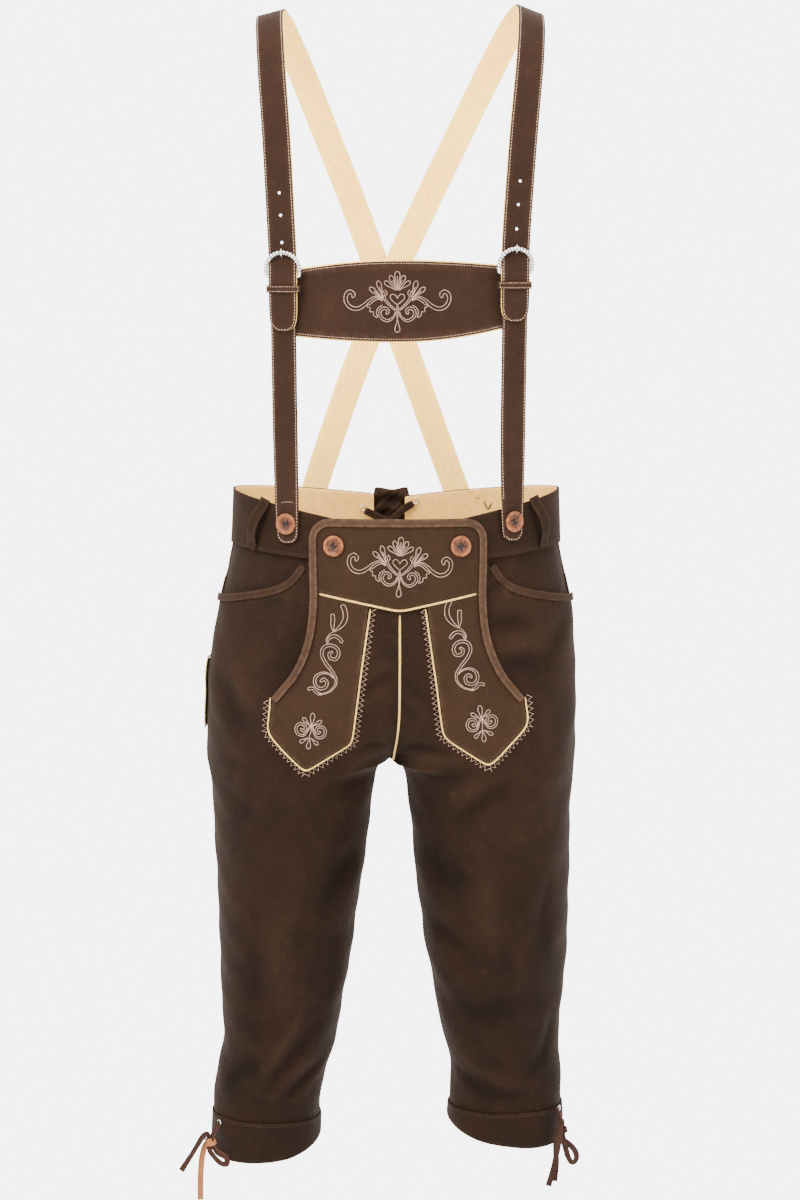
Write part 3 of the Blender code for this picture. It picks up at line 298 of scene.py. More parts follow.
def suede(name, base, deep, rubbedWearAndPaintedHighlight, bump=0.5, sheen=0.03):
    material, tree, shader, place = startMaterial(name)
    nap = tree.nodes.new("ShaderNodeGroup")
    nap.node_tree = napGroup
    feed(tree, nap, {
        "Vector": place, "Base": (*base, 1), "Deep": (*deep, 1), "RubbedWearAndPaintedHighlight": (*rubbedWearAndPaintedHighlight, 1),
        "Wear": attributeOf(tree, "wear"), "Fold": attributeOf(tree, "fold"),
    })
    feed(tree, shader, {
        "Base Color": nap.outputs["Colour"], "Roughness": nap.outputs["Roughness"], "Sheen Weight": sheen,
        "Sheen Roughness": 0.45, "Sheen Tint": (0.8, 0.55, 0.4, 1), "Specular IOR Level": 0.06,
    })
    bumped(tree, shader, nap.outputs["Height"], bump, 0.0006)
    return material


def thread(name, light, dark, scale, roughness):
    material, tree, shader, place = startMaterial(name)
    fleck = tree.nodes.new("ShaderNodeGroup")
    fleck.node_tree = threadGroup
    feed(tree, fleck, {"Vector": place, "Light": (*light, 1), "Dark": (*dark, 1), "Scale": scale})
    feed(tree, shader, {"Base Color": fleck.outputs["Colour"], "Roughness": roughness, "Specular IOR Level": 0.2})
    bumped(tree, shader, fleck.outputs["Height"], 0.4, 0.0003)
    return material


def horn(name):
    # brown horn with streaks, an orange rim that carries a painted highlight ring, and painted shade in the carved
    # middle, by the button's own "rim" attribute
    material, tree, shader, place = startMaterial(name)
    wave = noise(tree, 190, 4, place, 0.5, 1.2)
    rim = attributeOf(tree, "rim")
    streak = ramp(tree, wave, 0.35, 0.66)
    body = blendColour(tree, streak, (0.026, 0.009, 0.004, 1), (0.10, 0.032, 0.013, 1))
    edge = blendColour(tree, streak, (0.085, 0.024, 0.008, 1), (0.23, 0.078, 0.027, 1))
    # the outer ring is lighter and more orange: the horn's rim colour with a painted highlight ring
    colour = blendColour(tree, ramp(tree, rim, 0.55, 0.8), body, edge)
    # the carved mark is painted near-black: painted shade in its recess
    colour = blendColour(tree, ramp(tree, rim, -0.5, 0.05, 1, 0), colour, (0.008, 0.005, 0.0045, 1))
    feed(tree, shader, {"Base Color": colour, "Roughness": 0.42, "Specular IOR Level": 0.12, "Coat Weight": 0.05})
    bumped(tree, shader, wave, 0.25, 0.0003)
    return material


def plated(name):
    material, tree, shader, place = startMaterial(name)
    tarnish = noise(tree, 320, 4, place, 0.65)
    colour = blendColour(tree, ramp(tree, tarnish, 0.4, 0.68), (0.80, 0.80, 0.78, 1), (0.34, 0.31, 0.28, 1))
    # dark brown in the rib grooves: painted shade between the ribs
    colour = blendColour(tree, ramp(tree, attributeOf(tree, "paintedGrooveShade"), 0.35, 0.8), colour, (0.05, 0.032, 0.022, 1))
    roughness = ramp(tree, tarnish, 0.35, 0.7, 0.16, 0.42)
    feed(tree, shader, {"Base Color": colour, "Roughness": roughness, "Metallic": 1})
    bumped(tree, shader, tarnish, 0.15, 0.0002)
    return material


finishes = {
    "panel": suede("suedePanel", (0.0146, 0.0064, 0.0033), (0.0064, 0.0034, 0.0020), (0.0290, 0.0147, 0.0074)),
    "panelEdge": suede("suedeEdge", (0.019, 0.009, 0.005), (0.012, 0.006, 0.003), (0.034, 0.019, 0.011)),
    "trim": suede("suedeTrim", (0.0212, 0.0101, 0.0054), (0.0150, 0.0076, 0.0039), (0.0344, 0.0186, 0.0102)),
    # the self-fabric flap binding is suede painted lighter than the panels: a painted highlight on the raised band
    "binding": suede("suedeBindingPaintedHighlight", (0.0348, 0.0186, 0.0099), (0.0248, 0.0124, 0.0075), (0.0596, 0.0323, 0.0199)),
    "strap": suede("suedeStrap", (0.0210, 0.0102, 0.0061), (0.0150, 0.0071, 0.0041), (0.0370, 0.0194, 0.0122)),
    "cream": suede("creamLining", (0.9700, 0.6021, 0.1383), (0.9516, 0.5401, 0.1140), (0.9700, 0.6642, 0.1749),
        0.2, 0.0),
    "waistLining": suede("waistLining", (0.8323, 0.4515, 0.1144), (0.6865, 0.3519, 0.0828),
        (0.8945, 0.5241, 0.1544), 0.25, 0.0),
    "lace": suede("laceGrain", (0.0306, 0.0138, 0.0097), (0.0180, 0.0080, 0.0055), (0.0900, 0.0430, 0.0268)),
    "laceFlesh": suede("laceFlesh", (0.2300, 0.0900, 0.0360), (0.1495, 0.0552, 0.0216), (0.3220, 0.1500, 0.0720)),
    "piping": thread("creamPiping", (0.6138, 0.3971, 0.1144), (0.3564, 0.2134, 0.0528), 700, 0.5),
    "embroidery": thread("paleThread", (0.3978, 0.2565, 0.1867), (0.1287, 0.0762, 0.0533), 1500, 0.4),
    "edgeStitch": thread("strawThread", (0.4845, 0.3182, 0.2128), (0.1767, 0.1055, 0.0684), 1800, 0.6),
    "brownStitch": thread("brownThread", (0.030, 0.015, 0.009), (0.013, 0.0065, 0.004), 1800, 0.6),
    "horn": horn("hornButton"),
    "metal": plated("platedMetal"),
}
print("materials made")

# ---- how the cloth is pushed in and out: main creases placed one by one, similar on the hidden side

# each fold: width, depth (a trough is below zero) and its line of x and height, all in mm
frontFolds = [
    # over the hand pockets
    (11, 2.8, [(-174, -576), (-156, -590), (-138, -603)]),
    (8, -3.0, [(-150, -612), (-132, -606), (-118, -590)]),
    (8, -2.6, [(-192, -588), (-182, -602), (-172, -612)]),
    (10, 2.4, [(124, -572), (142, -588), (162, -600)]),
    (8, -3.0, [(103, -580), (116, -598), (132, -611)]),
    # right shin and hem
    (8, 3.2, [(-98, -1068), (-123, -1113), (-157, -1171)]),
    (9, -3.4, [(-84, -1090), (-113, -1128), (-147, -1163)]),
    (6, 2.6, [(-92, -1130), (-116, -1151), (-140, -1181)]),
    (6, -2.6, [(-84, -1143), (-108, -1163), (-124, -1184)]),
    (6, 2.2, [(-84, -1154), (-100, -1170), (-114, -1184)]),
    (9, -3.2, [(-193, -1172), (-170, -1150), (-150, -1140)]),
    (16, -4.0, [(-44, -905), (-63, -930), (-78, -956)]),
    (14, -2.6, [(-60, -980), (-72, -1015), (-76, -1050)]),
    (18, 2.4, [(-120, -960), (-130, -1010), (-126, -1060)]),
    (12, -2.2, [(-160, -985), (-156, -1030), (-160, -1075)]),
    (14, -2.0, [(-190, -1088), (-160, -1100), (-136, -1096)]),
    # left shin and hem
    (8, -3.4, [(60, -1148), (81, -1166), (106, -1174), (135, -1176)]),
    (8, 2.4, [(66, -1130), (92, -1149), (120, -1150)]),
    (11, -3.4, [(172, -1085), (163, -1126), (146, -1155)]),
    (7, 2.0, [(150, -1165), (120, -1163), (104, -1158)]),
    (14, -2.8, [(52, -1072), (88, -1080), (117, -1073), (146, -1062)]),
    (16, -3.8, [(26, -895), (50, -926), (74, -922)]),
    (12, -2.6, [(27, -986), (52, -993), (72, -1010)]),
    (16, 2.4, [(90, -905), (98, -950), (96, -1000)]),
    (10, -2.4, [(168, -925), (160, -985), (164, -1030)]),
    (12, 2.0, [(130, -1000), (134, -1040), (128, -1070)]),
    # crotch and thighs
    (6, -4.2, [(2, -790), (15, -781), (33, -779), (52, -787)]),
    (7, 2.6, [(12, -799), (36, -792), (64, -791)]),
    (8, -3.0, [(27, -811), (43, -814), (70, -806)]),
    (10, -3.4, [(118, -822), (88, -842), (62, -862)]),
    (9, 2.0, [(100, -812), (74, -826), (50, -836)]),
    (6, -4.0, [(-12, -782), (-27, -777), (-44, -783)]),
    (8, 2.2, [(-16, -796), (-34, -794), (-56, -800)]),
    (9, -2.6, [(-22, -816), (-44, -822), (-70, -818)]),
    (5, 1.5, [(-6, -687), (-22, -692), (-36, -704)]),
    (5, 1.6, [(-5, -708), (-21, -716), (-37, -731)]),
    (5, -1.6, [(-5, -698), (-22, -704), (-36, -716)]),
    (5, -1.5, [(6, -700), (20, -712), (32, -732)]),
    (5, 1.4, [(6, -716), (20, -728), (34, -746)]),
    # hips and pockets
    (6, -4.6, [(106, -603), (121, -594), (142, -583), (162, -576)]),
    (7, 2.6, [(112, -616), (130, -606), (150, -596)]),
    (8, -3.6, [(100, -645), (116, -644), (138, -647)]),
    (9, -3.2, [(114, -694), (131, -688), (156, -693)]),
    (9, 2.2, [(112, -668), (130, -666), (150, -672)]),
    (10, -2.4, [(186, -640), (170, -668), (160, -700)]),
    (7, -3.2, [(-184, -608), (-163, -606), (-146, -610)]),
    (7, -3.4, [(-142, -586), (-126, -592), (-112, -604)]),
    (6, 1.8, [(-150, -600), (-132, -606), (-118, -616)]),
    (12, -2.6, [(-194, -705), (-181, -736), (-163, -762)]),
    (9, 1.8, [(-178, -690), (-166, -722), (-150, -748)]),
    (14, -2.2, [(-104, -640), (-112, -690), (-128, -722)]),
]
# seat, behind the knees, calves
backFolds = [
    (9, -4.2, [(-10, -800), (-40, -792), (-78, -806)]),
    (9, 2.6, [(-14, -818), (-44, -812), (-84, -826)]),
    (10, -3.2, [(-24, -842), (-60, -838), (-104, -852)]),
    (9, -4.0, [(10, -798), (38, -790), (72, -800)]),
    (9, 2.4, [(16, -816), (46, -808), (80, -818)]),
    (10, -3.2, [(26, -840), (64, -834), (100, -842)]),
    (12, -2.8, [(-60, -640), (-84, -672), (-96, -710)]),
    (12, -2.6, [(52, -640), (80, -668), (98, -704)]),
    (11, 2.2, [(-120, -640), (-136, -690), (-142, -740)]),
    (11, 2.0, [(118, -650), (132, -696), (136, -744)]),
    (9, -4.0, [(-64, -968), (-104, -976), (-150, -966), (-184, -972)]),
    (8, 3.0, [(-68, -986), (-106, -994), (-152, -984)]),
    (9, -3.8, [(-72, -1006), (-110, -1012), (-160, -1000)]),
    (10, -2.8, [(-80, -1044), (-120, -1050), (-168, -1036)]),
    (9, -3.8, [(36, -960), (80, -972), (124, -962), (164, -970)]),
    (8, 2.8, [(42, -978), (84, -990), (128, -980)]),
    (9, -3.6, [(46, -1000), (88, -1008), (136, -996)]),
    (10, -2.6, [(56, -1042), (100, -1048), (146, -1034)]),
    (8, -3.0, [(-90, -1130), (-120, -1152), (-150, -1178)]),
    (8, 2.4, [(-106, -1124), (-136, -1144), (-168, -1168)]),
    (8, -3.0, [(70, -1122), (100, -1146), (132, -1166)]),
    (8, 2.2, [(88, -1116), (118, -1136), (150, -1156)]),
]


formTree = treeOf(*[nodes[f"{name}_{side}"] for name in (
    "front_leg", "back_leg", "cuff", "waistband_front", "waistband_back"
) for side in "RL"])


foldLook = {"step": 4, "atEnds": 0.25, "reach": 2.6}
foldSamples = []
for way, folds in ((1, frontFolds), (-1, backFolds)):
    for width, depth, line in folds:
        # the form's points seen from in front or behind, and a depth that fades towards both ends
        route = smoothRoute([(x, z, 0) for x, z in line], foldLook["step"])
        spots, depths = [], []
        for i, (x, z, _) in enumerate(route):
            hit = formTree.ray_cast(Vector((x * mm, -0.5 * way, z * mm)), Vector((0, way, 0)))[0]
            if hit is not None:
                middle = math.sin(math.pi * (i + 1) / (len(route) + 1))
                spots.append(hit)
                depths.append(depth * mm * (foldLook["atEnds"] + (1 - foldLook["atEnds"]) * middle))
        if spots:
            foldSamples.append((np.array(spots), np.array(depths), width * mm))


def foldPush(points):
    push = np.zeros(len(points))
    for spots, depths, width in foldSamples:
        reach = foldLook["reach"] * width
        near = np.all((points > spots.min(0) - reach) & (points < spots.max(0) + reach), axis=1)
        if not near.any():
            continue
        gaps = np.linalg.norm(points[near][:, None] - spots[None], axis=2)
        best = gaps.argmin(1)
        push[near] += depths[best] * np.exp(-((gaps[np.arange(len(best)), best] / width) ** 2))
    return push


def waver(points):
    # slow unevenness of limp leather, the same through every layer
    x, y, z = points.T
    low = np.clip((-0.60 - z) / 0.12, 0, 1)
    push = 1.1 * np.sin(x * 41 + z * 23 + 0.6) * np.sin(z * 34 - y * 29 + 1.1)
    push += 0.7 * np.sin(x * 73 - z * 61 + y * 47) + 0.45 * np.sin(z * 131 + x * 89 - y * 67)
    return push * mm * (0.25 + 0.75 * low)


# the form in metres: where the legs part, their middles and how far these move out below, half sizes
form = {
    "parting": -0.79, "blend": 0.06, "spreadFrom": -0.83, "spreadOver": 0.4,
    "right": (-0.098, -0.045), "left": (0.088, 0.038), "waist": (0.19, 0.115), "leg": (0.075, 0.07),
}


def outward(points):
    # level directions away from the waist's middle above and from each leg's middle below
    x, y, z = points.T
    below = np.clip((form["parting"] - z) / form["blend"], 0, 1)
    spread = np.clip((form["spreadFrom"] - z) / form["spreadOver"], 0, 1)
    right, left = (start + move * spread for start, move in (form["right"], form["left"]))
    middle = np.where(x < 0, right, left)
    wide, deep = (waist * (1 - below) + leg * below for waist, leg in zip(form["waist"], form["leg"]))
    dx = (x - middle * below) / wide ** 2
    dy = y / deep ** 2
    away = np.stack([dx, dy, np.zeros(len(z))], axis=1)
    return away / np.maximum(np.linalg.norm(away, axis=1), 1e-6)[:, None]


def mark(piece, name, values):
    attribute = piece.data.attributes.get(name) or piece.data.attributes.new(name, "FLOAT", "POINT")
    attribute.data.foreach_set("value", np.ascontiguousarray(values, dtype=np.float32))


def wearOf(piece):
    values = np.empty(len(piece.data.vertices))
    piece.data.attributes["wear"].data.foreach_get("value", values)
    return values


def copyNode(nodeName, pieceName):
    piece = nodes[nodeName].copy()
    piece.data = nodes[nodeName].data.copy()
    piece.name = piece.data.name = pieceName
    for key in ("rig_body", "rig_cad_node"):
        if key in piece:
            del piece[key]
    piece.parent = None
    scene.collection.objects.link(piece)
    pick(piece)
    bpy.ops.object.mode_set(mode="EDIT")
    bpy.ops.mesh.customdata_custom_splitnormals_clear()
    bpy.ops.mesh.select_all(action="SELECT")
    bpy.ops.mesh.remove_doubles(threshold=0.00002)
    bpy.ops.mesh.tris_convert_to_quads(face_threshold=math.radians(55), shape_threshold=math.radians(60))
    bpy.ops.mesh.select_all(action="DESELECT")
    bpy.ops.object.mode_set(mode="OBJECT")
    return piece


def refine(piece, levels, crease, sharp=52, wearWidth=3.0):
    # rims are creased, the shell is subdivided, and points near a rim are marked as worn
    pick(piece)
    bpy.ops.object.mode_set(mode="EDIT")
    bpy.ops.mesh.select_mode(type="EDGE")
    bpy.ops.mesh.select_all(action="DESELECT")
    bpy.ops.mesh.edges_select_sharp(sharpness=math.radians(sharp))
    bpy.ops.transform.edge_crease(value=crease)
    bpy.ops.object.mode_set(mode="OBJECT")
    places = getPoints(piece)
    rims = [tuple(edge.vertices) for edge in piece.data.edges if edge.select]
    smooth = piece.modifiers.new("smooth", "SUBSURF")
    smooth.levels = smooth.render_levels = levels
    applyAll(piece)
    points = getPoints(piece)
    samples = [places[a] + (places[b] - places[a]) * t for a, b in rims for t in np.linspace(0, 1, 8)]
    wear = np.zeros(len(points))
    if samples:
        tree = pointTree(samples)
        gaps = np.array([tree.find(point)[2] for point in points])
        wear = np.exp(-((gaps / (wearWidth * mm)) ** 2))
    mark(piece, "wear", wear)
    piece.data.shade_smooth()
    return smoothBy(piece, 48)


def pushed(points, lift):
    return points + outward(points) * (foldPush(points) + waver(points) + lift * mm)[:, None]


# lighter over the hips and darker towards the hems: strength, start and length in metres
toneLook = {"hips": (0.16, -0.80, 0.14), "hems": (0.42, -0.82, 0.36), "fullFold": 4}


def drape(piece, lift=0.0):
    # pushes the cloth in and out, and marks its troughs and ridges, which the suede turns into painted shade in
    # the troughs and a painted highlight with rub wear on the ridges
    points = getPoints(piece)
    hips, hipStart, hipRun = toneLook["hips"]
    hems, hemStart, hemRun = toneLook["hems"]
    low = np.clip((hemStart - points[:, 2]) / hemRun, 0, 1)
    high = np.clip((points[:, 2] - hipStart) / hipRun, 0, 1)
    tone = hips * high - hems * low
    mark(piece, "fold", np.clip(foldPush(points) / (toneLook["fullFold"] * mm) + tone, -1, 1))
    setPoints(piece, pushed(points, lift))


def dress(piece, finish):
    piece.data.materials.clear()
    piece.data.materials.append(finishes[finish])
    return piece


# ---- the cloth pieces

# node: finish, levels, crease, lift in mm, flat width, flat length, flat area in square metres, slot
cloths = {
    "front_leg_R": ("panel", 3, 0.9, 0, 0.30, 0.68, 0.161, "suede"),
    "front_leg_L": ("panel", 3, 0.9, 0, 0.30, 0.68, 0.160, "suede"),
    "back_leg_R": ("panel", 3, 0.9, 0, 0.33, 0.69, 0.179, "suede"),
    "back_leg_L": ("panel", 3, 0.9, 0, 0.33, 0.69, 0.177, "suede"),
    "cuff_R": ("panel", 3, 0.8, 0.3, 0.39, 0.044, 0.0156, "suede"),
    "cuff_L": ("panel", 3, 0.8, 0.3, 0.385, 0.040, 0.0127, "suede"),
    "waistband_front_R": ("panel", 3, 0.85, 0.3, 0.24, 0.062, 0.0122, "suede"),
    "waistband_front_L": ("panel", 3, 0.85, 0.3, 0.24, 0.062, 0.0119, "suede"),
    "waistband_back_R": ("panel", 3, 0.85, 0.3, 0.22, 0.062, 0.0117, "suede"),
    "waistband_back_L": ("panel", 3, 0.85, 0.3, 0.23, 0.062, 0.0126, "suede"),
    "waist_lining_R": ("waistLining", 3, 0.85, -0.2, 0.22, 0.066, 0.0122, "lining"),
    "waist_lining_L": ("waistLining", 3, 0.85, -0.2, 0.24, 0.066, 0.0131, "lining"),
    "pocket_facing_R": ("panel", 3, 0.85, 0, 0.19, 0.09, 0.0128, "suede"),
    "pocket_facing_L": ("panel", 3, 0.85, 0, 0.19, 0.09, 0.0124, "suede"),
    "pocket_binding_R": ("panelEdge", 3, 0.35, 0.5, 0.185, 0.010, 0.00157, "suede_trim"),
    "pocket_binding_L": ("panelEdge", 3, 0.35, 0.5, 0.183, 0.010, 0.00155, "suede_trim"),
    "knife_pocket": ("panel", 3, 0.85, 0.4, 0.068, 0.075, 0.0041, "suede"),
    "tab_R": ("trim", 3, 0.85, 0.5, 0.115, 0.195, 0.0135, "suede_trim"),
    "tab_L": ("trim", 3, 0.85, 0.5, 0.115, 0.188, 0.0129, "suede_trim"),
    "drop_flap": ("trim", 3, 0.85, 0.8, 0.195, 0.1, 0.0167, "suede_trim"),
    "flap_binding": ("binding", 3, 0.35, 1.0, 0.68, 0.010, 0.0057, "suede_trim"),
    "belt_loop_R": ("panel", 3, 0.7, 0.4, 0.0137, 0.072, 0.00096, "suede_trim"),
    "belt_loop_L": ("panel", 3, 0.7, 0.4, 0.0137, 0.072, 0.00096, "suede_trim"),
    "back_gusset": ("strap", 4, 0.85, 0.4, 0.072, 0.1, 0.0060, "suede"),
}
# in mm: how far the gusset's lumps stand, how its top edge waves, and how its upper part widens
gussetLook = {
    "lump": 0.8, "lumpFrom": -640, "wave": 1.2, "waveFrom": -560,
    "widen": 0.4, "widenFrom": -612, "middle": -9, "blend": 40,
}


def crumple(piece, look):
    # drawn together by its laces: it stands in soft lumps
    points = getPoints(piece)
    x, z = points[:, 0] / mm, points[:, 2] / mm
    lump = np.sin(x * 0.42 + 2.2 * np.sin(z * 0.11)) * 1.6
    lump = lump + np.sin(z * 0.36 + 1.5 * np.sin(x * 0.17)) * 1.9 + np.sin(x * 0.9 - z * 0.7) * 0.5
    points[:, 1] += lump * look["lump"] * mm * np.clip((z - look["lumpFrom"]) / look["blend"], 0, 1)
    points[:, 2] += np.where(z > look["waveFrom"], np.sin(x * 0.3 + 0.6) * look["wave"] * mm, 0)
    wider = (x - look["middle"]) * mm * look["widen"]
    points[:, 0] += wider * np.clip((z - look["widenFrom"]) / look["blend"], 0, 1)
    setPoints(piece, points)
    # the fold mark: the lumps' hollows get painted shade, and their crests the lighter colour with a painted
    # highlight
    mark(piece, "fold", np.clip(-lump / 3, -1, 1))


cloth = {}
for name, (finish, levels, crease, lift, width, length, area, slot) in cloths.items():
    piece = refine(copyNode(name, name + "_cloth"), levels, crease)
    drape(piece, lift)
    worn = 0.3 if name.startswith("waistband") else 0.5 if finish in ("panel", "panelEdge") else 1
    mark(piece, "wear", wearOf(piece) * worn)
    if name == "back_gusset":
        crumple(piece, gussetLook)
    dress(piece, finish)
    mounted(piece, slot, name)
    cloth[name] = piece


def closeSeams(*pairs, reach=3.0, over=0.12):
    # panels sewn edge to edge meet along their seam
    first = {piece: (getPoints(piece), treeOf(piece)) for pair in pairs for piece in pair}
    moves = {piece: np.zeros_like(points) for piece, (points, _) in first.items()}
    nearest = {piece: np.full(len(points), np.inf) for piece, (points, _) in first.items()}
    for pair in pairs:
        for piece, other in (pair, pair[::-1]):
            points, tree = first[piece][0], first[other][1]
            for i, point in enumerate(points):
                near, _, _, gap = tree.find_nearest(Vector(point), reach * mm)
                if near is not None and 1e-6 < gap < nearest[piece][i]:
                    nearest[piece][i] = gap
                    moves[piece][i] = np.array(near - Vector(point)) * (0.5 + over * mm / gap)
    for piece, move in moves.items():
        setPoints(piece, first[piece][0] + move)


closeSeams(*[(cloth[a], cloth[b]) for a, b in (
    ("front_leg_R", "back_leg_R"), ("front_leg_L", "back_leg_L"),
    ("front_leg_R", "front_leg_L"), ("back_leg_R", "back_leg_L"),
    ("waistband_front_R", "waistband_back_R"), ("waistband_front_L", "waistband_back_L"),
    ("pocket_facing_R", "back_leg_R"), ("pocket_facing_L", "back_leg_L"),
)])
print("trouser cloth shaped", sum(len(piece.data.polygons) for piece in cloth.values()))

# pipings follow the cloth under them
for name, lift, slim in (
    ("flap_piping", 1.4, 0.4), ("centre_piping", 0.8, 0.35), ("tab_piping_R", 1.0, 0.6),
    ("tab_piping_L", 1.0, 0.6), ("knife_pocket_piping", 0.4, 0.3),
):
    piece = refine(copyNode(name, name + "_cord"), 2, 0.25, wearWidth=0.2)
    setPoints(piece, getPoints(piece) - readThrees(piece.data.vertex_normals, "vector") * slim * mm)
    drape(piece, lift)
    dress(piece, "piping")
    mounted(piece, "piping", name)
    cloth[name] = piece
print("pipings laid")

# ---- braces, lower straps, chest bar and keepers

# three punched holes, then the prong's, which is only closed because the buckle hides it:
# x and height in mm, then half width and half height
strapHoles = {
    "R": [(-122.9, -191, 1.45, 1.45), (-121.7, -214, 1.45, 1.45), (-120.5, -242, 1.45, 1.45),
        (-119.5, -269, 2.2, 6)],
    "L": [(126.7, -179, 1.45, 1.45), (125, -203, 1.45, 1.45), (123.3, -228, 1.45, 1.45), (122, -265, 2.2, 6)],
}


def braceOut(point):
    # the outward side of a strap: forwards in front, up at the shoulder, backwards behind
    return Vector((0, point[1], max(0.0, point[2] + 0.088))).normalized()


def closeHoles(piece, holes):
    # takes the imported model's faceted holes out, so that the strap subdivides evenly
    pick(piece)
    points = getPoints(piece)
    inHole = np.zeros(len(points), dtype=bool)
    for x, z, _, tall in holes:
        near = (abs(points[:, 0] - x * mm) < 8 * mm) & (abs(points[:, 2] - z * mm) < (tall + 5) * mm)
        inHole |= near & (points[:, 1] < -0.06)
    piece.data.vertices.foreach_set("select", inHole)
    bpy.ops.object.mode_set(mode="EDIT")
    bpy.ops.mesh.select_mode(type="VERT")
    bpy.ops.mesh.delete(type="VERT")
    bpy.ops.mesh.select_all(action="SELECT")
    bpy.ops.mesh.fill_holes(sides=0)
    bpy.ops.mesh.select_all(action="DESELECT")
    bpy.ops.object.mode_set(mode="OBJECT")


def punchHoles(piece, holes):
    cutters = []
    for x, z, wide, tall in holes:
        bpy.ops.mesh.primitive_cylinder_add(
            vertices=20, radius=1, depth=2, location=(x * mm, -0.115, z * mm), rotation=(math.pi / 2, 0, 0)
        )
        cutter = bpy.context.object
        cutter.scale = (wide * mm, tall * mm, 0.02)
        bpy.ops.object.transform_apply(location=True, rotation=True, scale=True)
        cutters.append(cutter)
    pick(*cutters)
    bpy.ops.object.join()
    cutter = bpy.context.object
    cut = piece.modifiers.new("holes", "BOOLEAN")
    cut.operation = "DIFFERENCE"
    cut.object = cutter
    applyAll(piece)
    bpy.data.objects.remove(cutter)


def rimLines(piece, inset, facing):
    # closed lines that run a set distance inside the edge of the wall that looks along facing
    bm = bmesh.new()
    bm.from_mesh(piece.data)
    others = [face for face in bm.faces if face.normal.dot(facing(face.calc_center_median())) < 0.45]
    bmesh.ops.delete(bm, geom=others, context="FACES")
    ring = bmesh.ops.inset_region(
        bm, faces=bm.faces[:], thickness=inset * mm, use_even_offset=True, use_boundary=True
    )
    ring = set(ring["faces"])
    links = {}
    for edge in bm.edges:
        if len(edge.link_faces) == 2 and len([f for f in edge.link_faces if f in ring]) == 1:
            a, b = (tuple(round(c, 7) for c in vertex.co) for vertex in edge.verts)
            links.setdefault(a, []).append(b)
            links.setdefault(b, []).append(a)
    bm.free()
    lines = []
    while links:
        start = next(iter(links))
        line, here = [start], start
        while links.get(here):
            there = links[here].pop()
            links[there].remove(here)
            line.append(there)
            here = there
            if here == start:
                break
        links = {key: value for key, value in links.items() if value}
        if len(line) > 6:
            lines.append([Vector(point) for point in line])
    return lines


def evenly(line, step):
    # places along a line, a step apart, each with its direction
    spots, carry = [], 0.0
    for a, b in zip(line, line[1:]):
        length = (b - a).length
        if length < 1e-7:
            continue
        while carry < length:
            spots.append((a.lerp(b, carry / length), (b - a) / length))
            carry += step
        carry -= length
    return spots


bpy.ops.mesh.primitive_uv_sphere_add(segments=6, ring_count=4, radius=1, location=(0, 0, 0))
stitchPattern = bpy.context.object
bpy.ops.object.mode_set(mode="EDIT")
bpy.ops.mesh.select_all(action="SELECT")
bpy.ops.transform.rotate(value=math.pi / 2, orient_axis="Y", center_override=(0, 0, 0))
bpy.ops.object.mode_set(mode="OBJECT")
stitchPoints = getPoints(stitchPattern)
stitchFaces = [list(face.vertices) for face in stitchPattern.data.polygons]
bpy.data.objects.remove(stitchPattern)


# a stitch's share of its thickness that lifts its middle, and how far in metres its cloth may be
stitchLook = {"lift": 0.12, "reach": 0.006}


def sewStitches(name, spots, size, finish, slot="suede_trim"):
    # copies of one stitch: each spot is a place, a direction and a normal
    length, thick = size
    points, faces = [], []
    for place, along, normal in spots:
        across = normal.cross(along).normalized()
        turn = np.array([along * length * mm / 2, across * thick * mm / 2, normal * thick * mm / 2])
        first = len(points)
        points += list(stitchPoints @ turn + np.array(place + normal * thick * mm * stitchLook["lift"]))
        faces += [[first + i for i in face] for face in stitchFaces]
    return mounted(meshPiece(name, points, faces, finishes[finish]), slot)


def stitchRow(lines, tree, pitch, lift=0.0):
    spots = []
    for line in lines:
        for place, along in evenly(line, pitch * mm):
            hit, normal, _, gap = tree.find_nearest(place)
            if hit is None or gap > stitchLook["reach"]:
                continue
            along = (along - normal * along.dot(normal)).normalized()
            spots.append((hit + normal * lift * mm, along, normal))
    return spots


def footFollows(piece, lift):
    # a strap's foot rides on the waistband's cloth, and the rest keeps its place
    points = getPoints(piece)
    share = np.clip((-0.495 - points[:, 2]) / 0.03, 0, 1)
    moved = outward(points) * (foldPush(points) + waver(points) + lift * mm)[:, None]
    setPoints(piece, points + moved * share[:, None])


def forwards(point):
    return Vector((0, -1, 0))


straps = {}


def makeStrap(node, finish, slot, crease, sharp=52, facing=forwards, row=None, foot=None, holes=()):
    # row: the stitches' name, inset, pitch and size; foot: how far its foot is lifted off the waistband
    piece = copyNode(node, node + "_leather")
    if holes:
        closeHoles(piece, holes)
    lines = rimLines(piece, row[1], facing) if row else []
    refine(piece, 3, crease, sharp)
    if foot is not None:
        footFollows(piece, foot)
    if holes:
        punchHoles(piece, holes[:3])
        piece.data.shade_smooth()
        smoothBy(piece, 40)
    dress(piece, finish)
    mounted(piece, slot, node)
    if row:
        sewStitches(row[0], stitchRow(lines, treeOf(piece), row[2]), row[3], "edgeStitch")
    straps[node] = piece
    return piece


